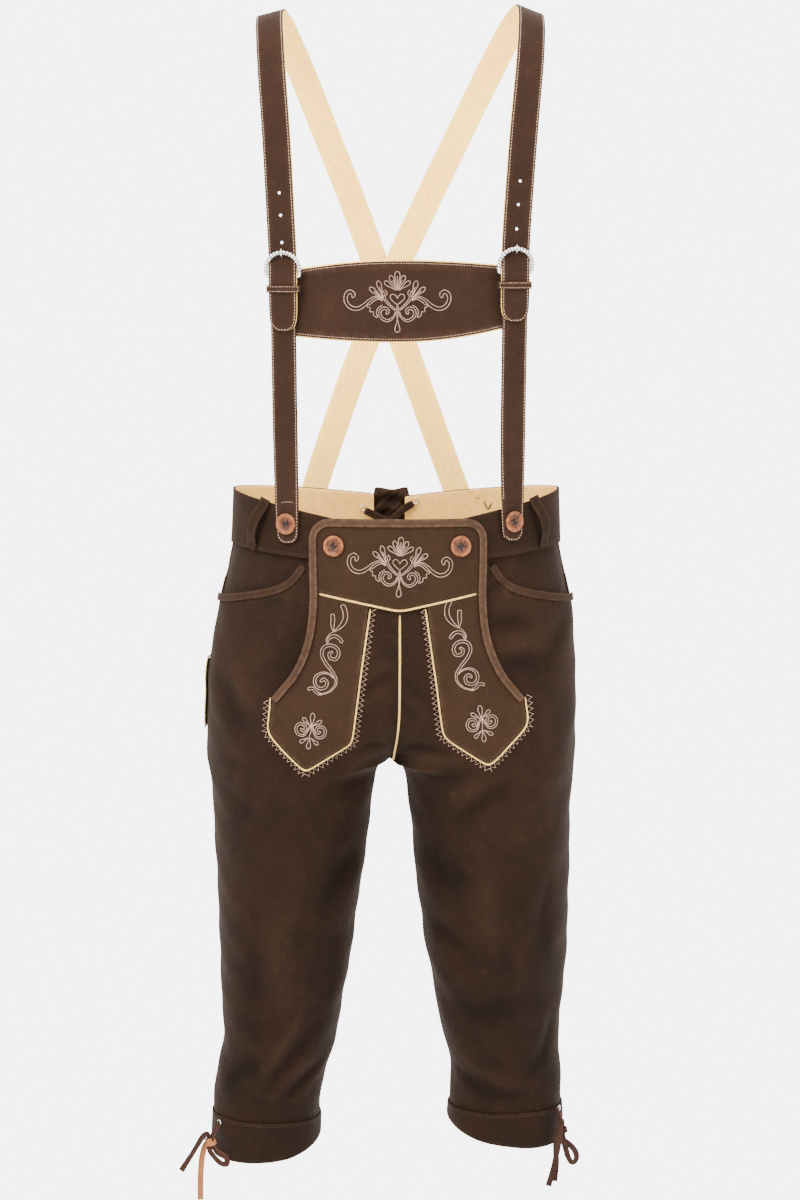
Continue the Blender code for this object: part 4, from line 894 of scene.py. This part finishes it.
strapLook = {"crease": 0.9, "sharp": 60, "lift": 0.35, "pitch": 3.3, "stitch": (2.6, 0.95)}
for side in "RL":
    for node, finish, slot, wide, row in (
        (f"brace_{side}", "strap", "suede_trim", 0.029,
         (f"brace_stitches_{side}", 1.9, strapLook["pitch"], strapLook["stitch"])),
        (f"brace_lining_{side}", "cream", "lining", 0.0298, None),
    ):
        piece = makeStrap(
            node, finish, slot, strapLook["crease"], strapLook["sharp"], braceOut, row,
            strapLook["lift"], strapHoles[side],
        )
    row = (f"lower_strap_stitches_{side}", 1.8, strapLook["pitch"], strapLook["stitch"])
    piece = makeStrap(
        f"lower_strap_{side}", "strap", "suede_trim", strapLook["crease"], strapLook["sharp"],
        row=row, foot=strapLook["lift"] + 0.2,
    )
    makeStrap(f"keeper_{side}", "strap", "suede_trim", 0.6, row=(f"keeper_stitches_{side}", 1.3, 2.6, (2.0, 0.6)))
print("straps sewn")

chestBar = makeStrap("chest_bar", "strap", "suede_trim", 0.9, row=("chest_bar_stitches", 2.2, 2.9, (2.2, 0.75)))
barLining = makeStrap("chest_bar_lining", "cream", "lining", 0.8)
print("chest bar made")

# ---- embroidery, in mm about each motif's middle: x to the right, y up


def petal(base, tip, half):
    # a closed drop, fullest near its tip
    base, tip = Vector(base), Vector(tip)
    run = tip - base
    aside = Vector((-run.y, run.x)).normalized() * half
    line = []
    for i in range(33):
        t = math.sin(math.pi / 2 * (i / 16 if i <= 16 else (32 - i) / 16))
        bulge = (t / 0.74) ** 1.3 if t < 0.74 else math.sqrt(max(1 - ((t - 0.74) / 0.26) ** 2, 0))
        line.append(base + run * t + aside * bulge * (1 if i <= 16 else -1))
    return line


def curl(points, step=0.7):
    return [Vector((p.x, p.y)) for p in smoothRoute([(x, y, 0) for x, y in points], step)]


def doubled(points, half, startHalf=0.3):
    # two threads side by side that meet round the far end
    line = curl(points)
    left, right = [], []
    for i, point in enumerate(line):
        run = line[min(i + 1, len(line) - 1)] - line[max(i - 1, 0)]
        aside = Vector((-run.y, run.x)).normalized()
        t = i / (len(line) - 1)
        end = 1 if t < 0.94 else math.sqrt(max(1 - ((t - 0.94) / 0.06) ** 2, 0.05))
        width = half * (startHalf + (1 - startHalf) * min(t * 2.5, 1)) * end
        left.append(point + aside * width)
        right.append(point - aside * width)
    return left + right[::-1]


def mirrored(lines):
    return lines + [[Vector((-p.x, p.y)) for p in line] for line in lines]


# the wide motif of chest bar and flap: a fan of petals, a heart on a stem, curls and long scrolls
wideMotif = [petal((0, 12.6), (0, 32), 2.9), petal((0, -16.5), (0, -31), 2.7)]
wideMotif += [
    [Vector((0, 12.6)), Vector((0, 27))],
    curl([(-0.5, -3.5), (-0.7, -10), (-0.4, -16.5)]), curl([(0.6, -3.5), (0.8, -10), (0.4, -16.5)]),
]
wideMotif += mirrored([
    petal((0.8, 12.8), (7.4, 27.6), 2.3),
    petal((1.4, 12.2), (13.2, 21.6), 2.2),
    curl([(0.4, 13), (2.6, 18), (4.8, 23)]),
    curl([(0, -2.6), (4.6, 1.2), (7.4, 4.6), (6.6, 7.8), (3.8, 8.4), (1.2, 6.4), (0, 4.0)]),
    curl([(0.9, -8), (5.2, -4.4), (9.6, 0.4), (12.6, 5.4), (10.6, 9.4), (13.0, 13.2)]),
    curl([(2.6, -8.4), (6.6, -5.2), (11.4, -0.6), (14.6, 4.6), (13.2, 8.6), (15.2, 12.2)]),
    doubled([(1.6, -9.5), (4.2, -15.4), (9.6, -18.8), (15.2, -17), (18.2, -12), (16.4, -7.2), (12.0, -6.2),
        (9.6, -9.2), (11.6, -12)], 1.25),
    curl([(15.6, -3), (19.8, -5.6), (21.8, -10.4), (20.6, -15.4), (24.6, -13.4), (25.2, -9.8), (28.4, -9.6),
        (28.4, -5.6), (31.4, -4.6), (30.2, -1.0)]),
    petal((14.8, 4.6), (20.2, 22), 2.4),
    petal((15.4, 4.4), (28.6, 15.2), 2.3),
    curl([(15, 4.6), (17.2, 11), (18.6, 16)]),
    curl([(15.4, 4.2), (20.4, 8.6), (24.4, 12)]),
    doubled([(15, 2.4), (21.5, 5.6), (28.5, 2.6), (35, -3.2), (42, -6.6), (49.2, -4.8), (53.4, 1.0), (53.2, 7.6),
        (49.2, 11.0), (45.6, 8.4), (46.6, 4.8)], 1.75, 0.2),
    curl([(15.2, 1.4), (19.6, 3.2), (24.4, 1.2), (29.6, -3.2)]),
])

# the tabs' scroll, as on the right tab
scrollMotif = [
    doubled([(7.4, 20), (14.6, 25.6), (19.4, 33.2), (19.6, 41.4), (16.6, 48.6)], 2.3, 0.15),
    doubled([(7, 20.6), (6.2, 27), (6.6, 32.6), (6.2, 38.6)], 1.9, 0.2),
    curl([(7.2, 20.4), (2.4, 16.4), (-0.6, 11.6), (0.2, 6.6)]),
    doubled([(0.4, 7), (2.6, 12.6), (7.6, 15.4), (13, 13.4), (16.4, 8.6)], 1.5, 0.25),
    doubled([(-9.6, -47.8), (1.4, -44.8), (8.8, -37.6), (9.4, -29.6), (4.6, -21.4), (-1.6, -13.4), (-5.4, -4.6),
        (-3.2, 2.6), (3.6, 5.4), (10.4, 2.8),
        (12.8, -3.4), (9.6, -9.2), (3.8, -8.4), (2.8, -3.6), (6.4, -1.6)], 1.4, 0.25),
    doubled([(7.2, -30), (3.4, -26.2), (-4.2, -24.6), (-11.4, -28.6), (-13.0, -35.8), (-8.4, -41.2), (-1.6, -39.6),
        (0.2, -34.4), (-3.4, -31.4), (-7, -34.2)], 1.3, 0.2),
    doubled([(-5.4, -47.6), (-11.4, -45.2), (-15.2, -41.4), (-20.4, -42.6)], 1.3, 0.4),
]

# the rosette in each tab's point
rosetteMotif = [petal((0.2, 2.8), (0, 20.8), 2.5), petal((-0.2, -6), (0, -20.6), 2.4)]
rosetteMotif.append(curl([(0, 10), (0.6, 2), (-0.6, -6)]))
rosetteMotif += mirrored([
    doubled([(1.2, 7), (3.0, 1.6), (7.6, -5.6), (14.4, -4.4), (16.6, 1.8), (13.2, 6.8), (7.8, 6.2), (6, 2.2),
        (8.8, -0.4), (11.2, 1.8)], 1.25, 0.3),
    petal((1.4, 6.6), (10.6, 13.8), 1.9),
    petal((1.4, -7.4), (10.2, -14.4), 1.9),
])

clothTrees = {
    "bar": treeOf(chestBar),
    "flap": treeOf(cloth["drop_flap"]),
    "tabR": treeOf(cloth["tab_R"]),
    "tabL": treeOf(cloth["tab_L"]),
    "trousers": treeOf(*[cloth[name] for name in (
        "front_leg_R", "front_leg_L", "tab_R", "tab_L", "drop_flap", "flap_binding"
    )]),
}


def onto(tree, x, z, lift):
    hit = tree.ray_cast(Vector((x * mm, -0.5, z * mm)), Vector((0, 1, 0)))[0]
    return None if hit is None else hit - Vector((0, lift * mm, 0))


def rodPiece(name, lines, radius, finish, slot, resolution=1, widths=None, closed=False):
    # rods of round section made one mesh; widths is each point's share of the radius
    curve = bpy.data.curves.new(name, "CURVE")
    curve.dimensions = "3D"
    curve.bevel_depth = radius * mm
    curve.bevel_resolution = resolution
    curve.use_fill_caps = not closed
    for line in lines:
        spline = curve.splines.new("POLY")
        spline.points.add(len(line) - 1)
        for i, (point, place) in enumerate(zip(spline.points, line)):
            point.co = (*place, 1)
            point.radius = widths[i] if widths else 1
        spline.use_cyclic_u = closed
    pick(linked(name, curve))
    bpy.ops.object.convert(target="MESH")
    piece = bpy.context.object
    piece.data.shade_smooth()
    dress(piece, finish)
    return mounted(piece, slot)


embroideryLook = {"radius": 0.42, "lift": 0.12}


def embroider(name, motif, tree, middle, turn=0.0, scale=1.0, mirror=False):
    lines = []
    c, s = math.cos(math.radians(turn)), math.sin(math.radians(turn))
    for line in motif:
        placed = []
        for p in line:
            x, y = (-p.x if mirror else p.x) * scale, p.y * scale
            spot = onto(tree, middle[0] + x * c - y * s, middle[1] + x * s + y * c, embroideryLook["lift"])
            if spot is not None:
                placed.append(spot)
        if len(placed) > 1:
            lines.append(placed)
    return rodPiece(name, lines, embroideryLook["radius"], "embroidery", "piping")


embroider("chest_bar_embroidery", wideMotif, clothTrees["bar"], (-0.5, -303.5), 0, 1.0)
embroider("flap_embroidery", wideMotif, clothTrees["flap"], (2, -581.5), -2.5, 1.0)
embroider("tab_scroll_R", scrollMotif, clothTrees["tabR"], (-75.4, -670.5), 0)
embroider("tab_scroll_L", scrollMotif, clothTrees["tabL"], (71.6, -666), 0, mirror=True)
embroider("tab_rosette_R", rosetteMotif, clothTrees["tabR"], (-92.9, -757.4), -8, 0.95)
embroider("tab_rosette_L", rosetteMotif, clothTrees["tabL"], (89.4, -749.5), 8, 0.95)
print("embroidery sewn")

# zigzag stitch outside each tab's piping: from the V down to the point, and up to where the flap ends
zigzagLook = {"width": 5.4, "pitch": 2.9, "gap": 5.9, "radius": 0.56, "lift": 0.9}
tabCorners = {
    "R": [(-31.5, -624), (-51, -771), (-99, -801), (-137, -760), (-135, -727)],
    "L": [(32.5, -624), (50, -763), (97, -795), (137, -752), (135, -722)],
}
for side, corners in tabCorners.items():
    corners = [Vector(corner) for corner in corners]
    middle = sum(corners, Vector((0, 0))) / len(corners)
    outside = []
    for i, corner in enumerate(corners):
        before = (corner - corners[i - 1]).normalized() if i else None
        after = (corners[i + 1] - corner).normalized() if i < len(corners) - 1 else None
        sides = [Vector((run.y, -run.x)) for run in (before, after) if run is not None]
        sides = [aside if aside.dot(corner - middle) > 0 else -aside for aside in sides]
        aside = sum(sides, Vector((0, 0))).normalized()
        outside.append(corner + aside * zigzagLook["gap"] / max(aside.dot(sides[0]), 0.5))
    zigzag, swing = [], 1
    for a, b in zip(outside, outside[1:]):
        run = (b - a).normalized()
        aside = Vector((run.y, -run.x))
        count = round((b - a).length / zigzagLook["pitch"])
        for i in range(count):
            swing = -swing
            p = a.lerp(b, (i + 0.5) / count) + aside * swing * zigzagLook["width"] / 2
            spot = onto(clothTrees["trousers"], p.x, p.y, zigzagLook["lift"])
            if spot is not None:
                zigzag.append(spot)
    rodPiece(f"tab_zigzag_{side}", [zigzag], zigzagLook["radius"], "embroidery", "piping")
print("zigzags sewn")

# ---- horn buttons

# in mm; a carved ladder mark: its two bars' place, half width and half length, and its stem's half sizes
buttonLook = {
    "radius": 11.2, "high": 3.6, "edges": 44, "bars": (2.1, 1.0, 3.6), "stem": (1.2, 2.4),
    "dishFrom": 0.45, "carved": 0.45, "lift": 0.9,
}
# radius share and height share from the back of the rim over the top to the middle
buttonTurning = [
    (0.8, 0), (0.96, 0.16), (1.0, 0.45), (0.985, 0.72), (0.93, 0.93), (0.86, 1.0), (0.79, 0.95), (0.73, 0.78),
    (0.66, 0.64), (0.56, 0.58), (0.46, 0.55), (0.36, 0.54), (0.27, 0.53), (0.18, 0.53), (0.09, 0.53),
]


def makeButton(node, turn):
    points = getPoints(nodes[node])
    centre = points.mean(0)
    normal = Vector(np.linalg.svd(points - centre)[2][2])
    if normal.dot(Vector(outward(centre[None])[0])) < 0:
        normal.negate()
    reach = (points - centre) @ np.array(normal)
    bpy.ops.object.select_all(action="DESELECT")
    radius = buttonLook["radius"] * mm
    bpy.ops.mesh.primitive_circle_add(
        vertices=buttonLook["edges"], radius=radius * buttonTurning[0][0], fill_type="NGON"
    )
    piece = bpy.context.object
    piece.name = piece.data.name = node + "_horn"
    bpy.ops.object.mode_set(mode="EDIT")
    bpy.ops.mesh.select_all(action="SELECT")
    for (wasWide, wasHigh), (wide, tall) in zip(buttonTurning, buttonTurning[1:]):
        rise = (tall - wasHigh) * buttonLook["high"] * mm
        bpy.ops.mesh.extrude_region_move(TRANSFORM_OT_translate={"value": (0, 0, rise)})
        bpy.ops.transform.resize(value=(wide / wasWide, wide / wasWide, 1))
    bpy.ops.mesh.select_all(action="SELECT")
    bpy.ops.mesh.normals_make_consistent(inside=False)
    bpy.ops.object.mode_set(mode="OBJECT")
    points = getPoints(piece)
    c, s = math.cos(turn), math.sin(turn)
    u, v = (points[:, 0] * c + points[:, 1] * s) / mm, (points[:, 1] * c - points[:, 0] * s) / mm
    flat = np.hypot(u, v) / buttonLook["radius"]
    aside, halfWide, halfLong = buttonLook["bars"]
    stemWide, stemLong = buttonLook["stem"]
    carved = (abs(abs(v) - aside) < halfWide) & (abs(u) < halfLong) | (abs(u) < stemWide) & (abs(v) < stemLong)
    carved &= points[:, 2] > buttonLook["high"] * mm * buttonLook["dishFrom"]
    # the rim mark: carved points get -1 for painted shade, and the outer ring gets the painted highlight
    rim = np.where(carved, -1.0, flat)
    points[:, 2] -= np.where(carved, buttonLook["carved"] * mm, 0)
    turning = Vector((0, 0, 1)).rotation_difference(normal).to_matrix()
    base = Vector(centre) + normal * float(reach.min())
    lifted = pushed(np.array([base]), buttonLook["lift"])[0] - np.array(base)
    setPoints(piece, points @ np.array(turning).T + np.array(base) + lifted)
    mark(piece, "rim", rim)
    piece.data.shade_smooth()
    smoothBy(piece, 40)
    dress(piece, "horn")
    return mounted(piece, "horn", node)


for node, turn in (
    ("flap_button_R", 0.5), ("flap_button_L", -0.5), ("strap_button_R", 1.4),
    ("strap_button_L", 0.9), ("back_button_R", 0.2), ("back_button_L", 1.1),
):
    makeButton(node, turn)
print("buttons turned")

# ---- buckles and eyelets

buckleLook = {"half": 17.4, "tall": 25.4, "bar": 2.6, "tilt": 14, "lean": 8}
ribLook = {"step": 0.55, "pitch": 3.3, "deep": 0.3, "from": 4, "plain": 0.84}
prongLook = {"radius": 1.15, "tip": 0.45, "taper": 0.16}
# the prong's side view in mm: height above the buckle's foot, and how far it stands out
prongRise = [(20.6, 6.6), (22.4, 9.2), (24.6, 10.6), (26.6, 10.7), (28.4, 9.9)]
buckleBase = {"R": (-119.5, -116.2, -277), "L": (122, -116.2, -273)}
level = Vector((0, 0, 1))
for side, turn in (("R", -1), ("L", 1)):
    lean, tilt = math.radians(buckleLook["lean"]), math.radians(buckleLook["tilt"])
    normal = Vector((turn * math.sin(lean), -math.cos(lean), 0))
    across = -level.cross(normal)
    up = level * math.cos(tilt) + normal * math.sin(tilt)
    base = Vector(buckleBase[side])
    half, straight = buckleLook["half"], buckleLook["tall"] - buckleLook["half"]
    arch = [math.pi * i / 16 for i in range(17)]
    outline = [(half * t, 0) for t in (-0.8, -0.4, 0, 0.4, 0.8)] + [(half * 0.97, 0.8), (half, 3)]
    outline += [(half * math.cos(angle), straight + half * math.sin(angle)) for angle in arch]
    outline += [(-half, 3), (-half * 0.97, 0.8)]
    ring = [base + across * a + up * b for a, b in outline + [outline[0]]]
    spots = [place for place, _ in evenly([point * mm for point in smoothRoute(ring, 0.6)], ribLook["step"] * mm)]
    ribs = [math.cos(2 * math.pi * i * ribLook["step"] / ribLook["pitch"]) for i in range(len(spots))]
    ribbed = [(place / mm - base).dot(up) > ribLook["from"] for place in spots]
    widths = [
        1 - ribLook["deep"] * (0.5 + 0.5 * rib) ** 2 if on else ribLook["plain"] for rib, on in zip(ribs, ribbed)
    ]
    piece = rodPiece(f"buckle_frame_{side}", [spots], buckleLook["bar"], "metal", "metal", 3, widths, True)
    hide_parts(f"buckle_{side}")
    tree = pointTree(spots)
    nearest = [tree.find(Vector(point))[1] for point in getPoints(piece)]
    # the rib grooves are marked for the plated metal's painted shade
    mark(piece, "paintedGrooveShade", np.array([max(ribs[i], 0) if ribbed[i] else 0 for i in nearest]))
    line = smoothRoute([base + level * a + normal * b for a, b in prongRise], 0.8)
    widths = [min(1, prongLook["tip"] + (len(line) - 1 - i) * prongLook["taper"]) for i in range(len(line))]
    line = [place * mm for place in line]
    prong = rodPiece(f"prong_steel_{side}", [line], prongLook["radius"], "metal", "metal", 3, widths)
    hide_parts(f"prong_{side}")
for node in ("hem_eyelet_R", "hem_eyelet_L", "back_eyelet_R", "back_eyelet_L"):
    piece = refine(copyNode(node, node + "_ring"), 2, 0)
    if node.startswith("hem"):
        setPoints(piece, pushed(getPoints(piece), 0.5))
    dress(piece, "metal")
    mounted(piece, "metal", node)
print("metal made")

# ---- hem laces: flat strips, each with its route in mm from its eyelet through the slip knot

laceLook = {"width": 6.6, "thick": 1.6}
laceRoutes = {
    "R": [
        (-198.6, -43.6, -1215), (-200.4, -48.6, -1216.4), (-201.5, -52.5, -1218.5), (-205.2, -56.4, -1223),
        (-206.5, -57.5, -1228), (-206.3, -57.6, -1235.5), (-203, -58.5, -1241), (-196, -60, -1245.5),
        (-190, -61, -1250.5), (-190.5, -61.5, -1256.3), (-196.8, -61.5, -1255.2), (-203.6, -61, -1248.5),
        (-208.4, -60.2, -1242), (-209.4, -59.6, -1235.5), (-209.3, -59.5, -1227), (-211.6, -62.5, -1221.2),
        (-216.5, -65.5, -1224), (-221.5, -66, -1232), (-229, -64.5, -1245), (-240.6, -61, -1264),
    ],
    "L": [
        (178.6, -35, -1201), (178.2, -44, -1202.4), (178.6, -51, -1205), (180, -54.4, -1209.5),
        (180.2, -55.5, -1214), (180.4, -55.6, -1223), (184, -55.2, -1230), (191.5, -54, -1237),
        (197.3, -53.5, -1245), (198.3, -53.5, -1253), (193.8, -54, -1257.4), (189, -55.2, -1250),
        (186, -56.6, -1239), (183.4, -57.5, -1229), (182.8, -57.6, -1222), (182.8, -57.6, -1212.5),
        (181.6, -61, -1206.8), (179.6, -65, -1209.5), (178.6, -66.6, -1221), (176, -66, -1240),
        (172, -64, -1261), (167, -62, -1281),
    ],
}
# the slip knot's middle, and where the lace's other half hangs from it
knots = {"R": (-207.9, -58.5, -1228.5), "L": (181.5, -56.5, -1215)}
laceTails = {
    "R": [(-215.4, -59.2, -1240), (-218, -59, -1253), (-219.6, -58.6, -1276), (-219.8, -58, -1298.5)],
    "L": [(175.6, -57.4, -1228), (175.3, -58, -1240), (175.6, -58.6, -1258), (174, -58, -1277)],
}
knotLook = {"radius": 5.1, "turns": 1.3, "pitch": 3.7, "grip": 7.5, "narrow": 0.42, "thicken": 0.75}


def flatLace(name, route, knot, twist, face, back, node):
    # a flat strip swept along its route, narrower and rounder where the knot grips it
    line = smoothRoute(route, 1.6)
    along = [0]
    for a, b in zip(line, line[1:]):
        along.append(along[-1] + (b - a).length)
    section = [(1, 0), (0.94, 0.6), (0.7, 1), (0, 1), (-0.7, 1), (-0.94, 0.6)]
    section += [(-u, -v) for u, v in section]
    points, faces, last = [], [], len(line) - 1
    for i, place in enumerate(line):
        run = (line[min(i + 1, last)] - line[max(i - 1, 0)]).normalized()
        facing = Vector((0, -1, 0)) - run * run.dot(Vector((0, -1, 0)))
        facing = facing.normalized() if facing.length > 0.2 else Vector((0, 0, 1)).cross(run).normalized()
        turn = math.radians(twist[0] + twist[1] * math.sin(along[i] / twist[2]))
        facing = Matrix.Rotation(turn, 3, run) @ facing
        across = run.cross(facing)
        grip = math.exp(-(((place - Vector(knot)).length / knotLook["grip"]) ** 2))
        wide = laceLook["width"] / 2 * (1 - knotLook["narrow"] * grip)
        thick = laceLook["thick"] / 2 * (1 + knotLook["thicken"] * grip)
        points += [(place + across * u * wide + facing * v * thick) * mm for u, v in section]
    count = len(section)
    for i in range(last):
        for k in range(count):
            j = (k + 1) % count
            faces.append([i * count + k, i * count + j, (i + 1) * count + j, (i + 1) * count + k])
    faces += [list(range(count))[::-1], [last * count + k for k in range(count)]]
    piece = meshPiece(name, points, faces, finishes[face])
    piece.data.materials.append(finishes[back])
    for wall in piece.data.polygons:
        if wall.index < last * count and wall.index % count >= count // 2:
            wall.material_index = 1
    pick(piece)
    bpy.ops.object.mode_set(mode="EDIT")
    bpy.ops.mesh.select_all(action="SELECT")
    bpy.ops.mesh.normals_make_consistent(inside=False)
    bpy.ops.object.mode_set(mode="OBJECT")
    smoothBy(piece, 50)
    mounted(piece, "lace", node)
    return piece


laceFaces = {"R": ("lace", "laceFlesh", "laceFlesh", "lace"), "L": ("lace", "laceFlesh", "lace", "laceFlesh")}
for side in "RL":
    knot = Vector(knots[side])
    face, back, tailFace, tailBack = laceFaces[side]
    flatLace(f"hem_lace_strip_{side}", laceRoutes[side], knot, (10, 35, 17), face, back, f"hem_lace_{side}")
    wrap = []
    steps = round(knotLook["turns"] * 10)
    for i in range(steps + 1):
        turn = math.pi - 2 * math.pi * knotLook["turns"] * (1 - i / steps)
        drop = knotLook["pitch"] * knotLook["turns"] * i / steps
        ringX, ringY = knotLook["radius"] * math.cos(turn), knotLook["radius"] * math.sin(turn)
        wrap.append(knot + Vector((ringX, -ringY, -drop)))
    tail = [tuple(point) for point in wrap] + laceTails[side]
    flatLace(f"hem_lace_tail_strip_{side}", tail, knot, (0, 12, 21), tailFace, tailBack, f"hem_lace_tail_{side}")
print("hem laces hung")

# ---- the laced slit at the back, seen inside the waist

for side in "RL":
    piece = refine(copyNode(f"back_lace_{side}", f"back_lace_strip_{side}"), 3, 0.3)
    dress(piece, "strap")
    mounted(piece, "lace", f"back_lace_{side}")

# ---- small sewn marks


def sewLine(name, line, tree, pitch, size, finish, lift=0.0, face="front"):
    way = -1 if face == "back" else 1
    start = 0 if face == "inside" else -0.5 * way
    spots = []
    for x, z in line:
        hit = tree.ray_cast(Vector((x * mm, start, z * mm)), Vector((0, way, 0)))
        if hit[0] is not None:
            spots.append(hit[0])
    if len(spots) > 1:
        sewStitches(name, stitchRow([smoothRoute(spots, 1 * mm)], tree, pitch, lift), size, finish)


barTack = [(-123, -515.6), (-117, -514.6), (-111, -515.2)]
sewLine("bar_tack_R", barTack, treeOf(straps["lower_strap_R"]), 2.4, (2.0, 0.8), "embroidery")


def edgeRow(name, piece, rise, face, rim="low"):
    # a row of brown stitches that keeps its distance from the lower or upper rim
    tree = treeOf(piece)
    points = getPoints(piece) / mm
    low, high = points.min(0), points.max(0)
    way = -1 if face == "back" else 1
    heights = np.arange(low[2], high[2], 0.5)
    if rim == "high":
        heights = heights[::-1]
    line = []
    for x in np.arange(low[0] + 5, high[0] - 4, 5):
        for z in heights:
            if tree.ray_cast(Vector((x * mm, -0.5 * way, z * mm)), Vector((0, way, 0)), 0.5)[0] is not None:
                line.append((x, z + (rise if rim == "low" else -rise)))
                break
    sewLine(name, line, tree, 3.3, (2.3, 0.65), "brownStitch", 0.1, face)


for side in "RL":
    edgeRow(f"band_stitch_front_{side}", cloth[f"waistband_front_{side}"], 3.2, "front")
    edgeRow(f"band_stitch_back_{side}", cloth[f"waistband_back_{side}"], 3.2, "back")
    edgeRow(f"cuff_stitch_front_{side}", cloth[f"cuff_{side}"], 3.0, "front", "high")
    edgeRow(f"cuff_stitch_back_{side}", cloth[f"cuff_{side}"], 3.0, "back", "high")
print("bands and cuffs stitched")
tabSeams = {"R": [(-132, -722), (-100, -719), (-58, -720)], "L": [(132, -717), (100, -714), (58, -716)]}
for side, line in tabSeams.items():
    sewLine(f"tab_seam_{side}", line, treeOf(cloth[f"tab_{side}"]), 2.8, (2.4, 0.5), "brownStitch", 0.05)
liningTree = treeOf(cloth["waist_lining_L"])
for name, line, pitch, size, lift in (
    ("lining_mark_V", [(97.5, -534.5), (101.5, -541.5), (105.5, -534.5)], 2.2, (2.3, 1.7), 0.3),
    ("lining_mark_dot", [(88.8, -529.5), (91.2, -529.8)], 2.4, (1.8, 1.4), 0.2),
):
    sewLine(name, line, liningTree, pitch, size, "brownStitch", lift, "inside")

# ---- light and floor

# each lamp: place, what it faces, width and height, power and colour
lamps = {
    "key": ((-1.5, -2.3, 1.3), (0, 0, -0.4), (1.6, 1.8), 205, (1.0, 0.98, 0.95)),
    "fill": ((1.9, -2.2, -0.2), (0, 0, -0.7), (1.8, 2.2), 60, (1, 1, 1)),
    "top": ((0, -0.4, 1.8), (0, 0, -0.5), (2.0, 1.4), 75, (1, 1, 1)),
    "back": ((0.2, 2.2, 0.6), (0, 0, -0.6), (2.2, 2.0), 75, (1, 1, 1)),
}
for name, (place, target, size, power, colour) in lamps.items():
    lamp = bpy.data.lights.new(name, "AREA")
    lamp.shape = "RECTANGLE"
    lamp.size, lamp.size_y = size
    lamp.energy = power
    lamp.color = colour
    lampObject = linked(name, lamp)
    lampObject.location = place
    lampObject.rotation_euler = (Vector(target) - Vector(place)).to_track_quat("-Z", "Y").to_euler()

roomLook = {"world": 2.9, "pale": 6, "floor": (0.9, 0.9, 0.89, 1), "size": 14, "place": (0, 3, -1.62)}
world = bpy.data.worlds.new("studio")
scene.world = world
world.use_nodes = True
background = world.node_tree.nodes["Background"]
feed(world.node_tree, background, {"Color": (1, 1, 1, 1), "Strength": roomLook["world"]})


def paleToCamera(tree, plain):
    # the camera sees it nearly white, and it lights the room as it would by itself
    bright = tree.nodes.new("ShaderNodeEmission")
    bright.inputs["Strength"].default_value = roomLook["pale"]
    share = tree.nodes.new("ShaderNodeMixShader")
    seen = tree.nodes.new("ShaderNodeLightPath").outputs["Is Camera Ray"]
    feed(tree, share, {0: seen, 1: plain.outputs[0], 2: bright.outputs[0]})
    end = next(node for node in tree.nodes if node.bl_idname.startswith("ShaderNodeOutput"))
    feed(tree, end, {"Surface": share.outputs[0]})


paleToCamera(world.node_tree, background)

bpy.ops.mesh.primitive_plane_add(size=roomLook["size"], location=roomLook["place"])
floor = bpy.context.object
floor.name = "floor"
paint = bpy.data.materials.new("palePaint")
paint.use_nodes = True
shader = paint.node_tree.nodes["Principled BSDF"]
feed(paint.node_tree, shader, {"Base Color": roomLook["floor"], "Roughness": 0.8})
paleToCamera(paint.node_tree, shader)
floor.data.materials.append(paint)
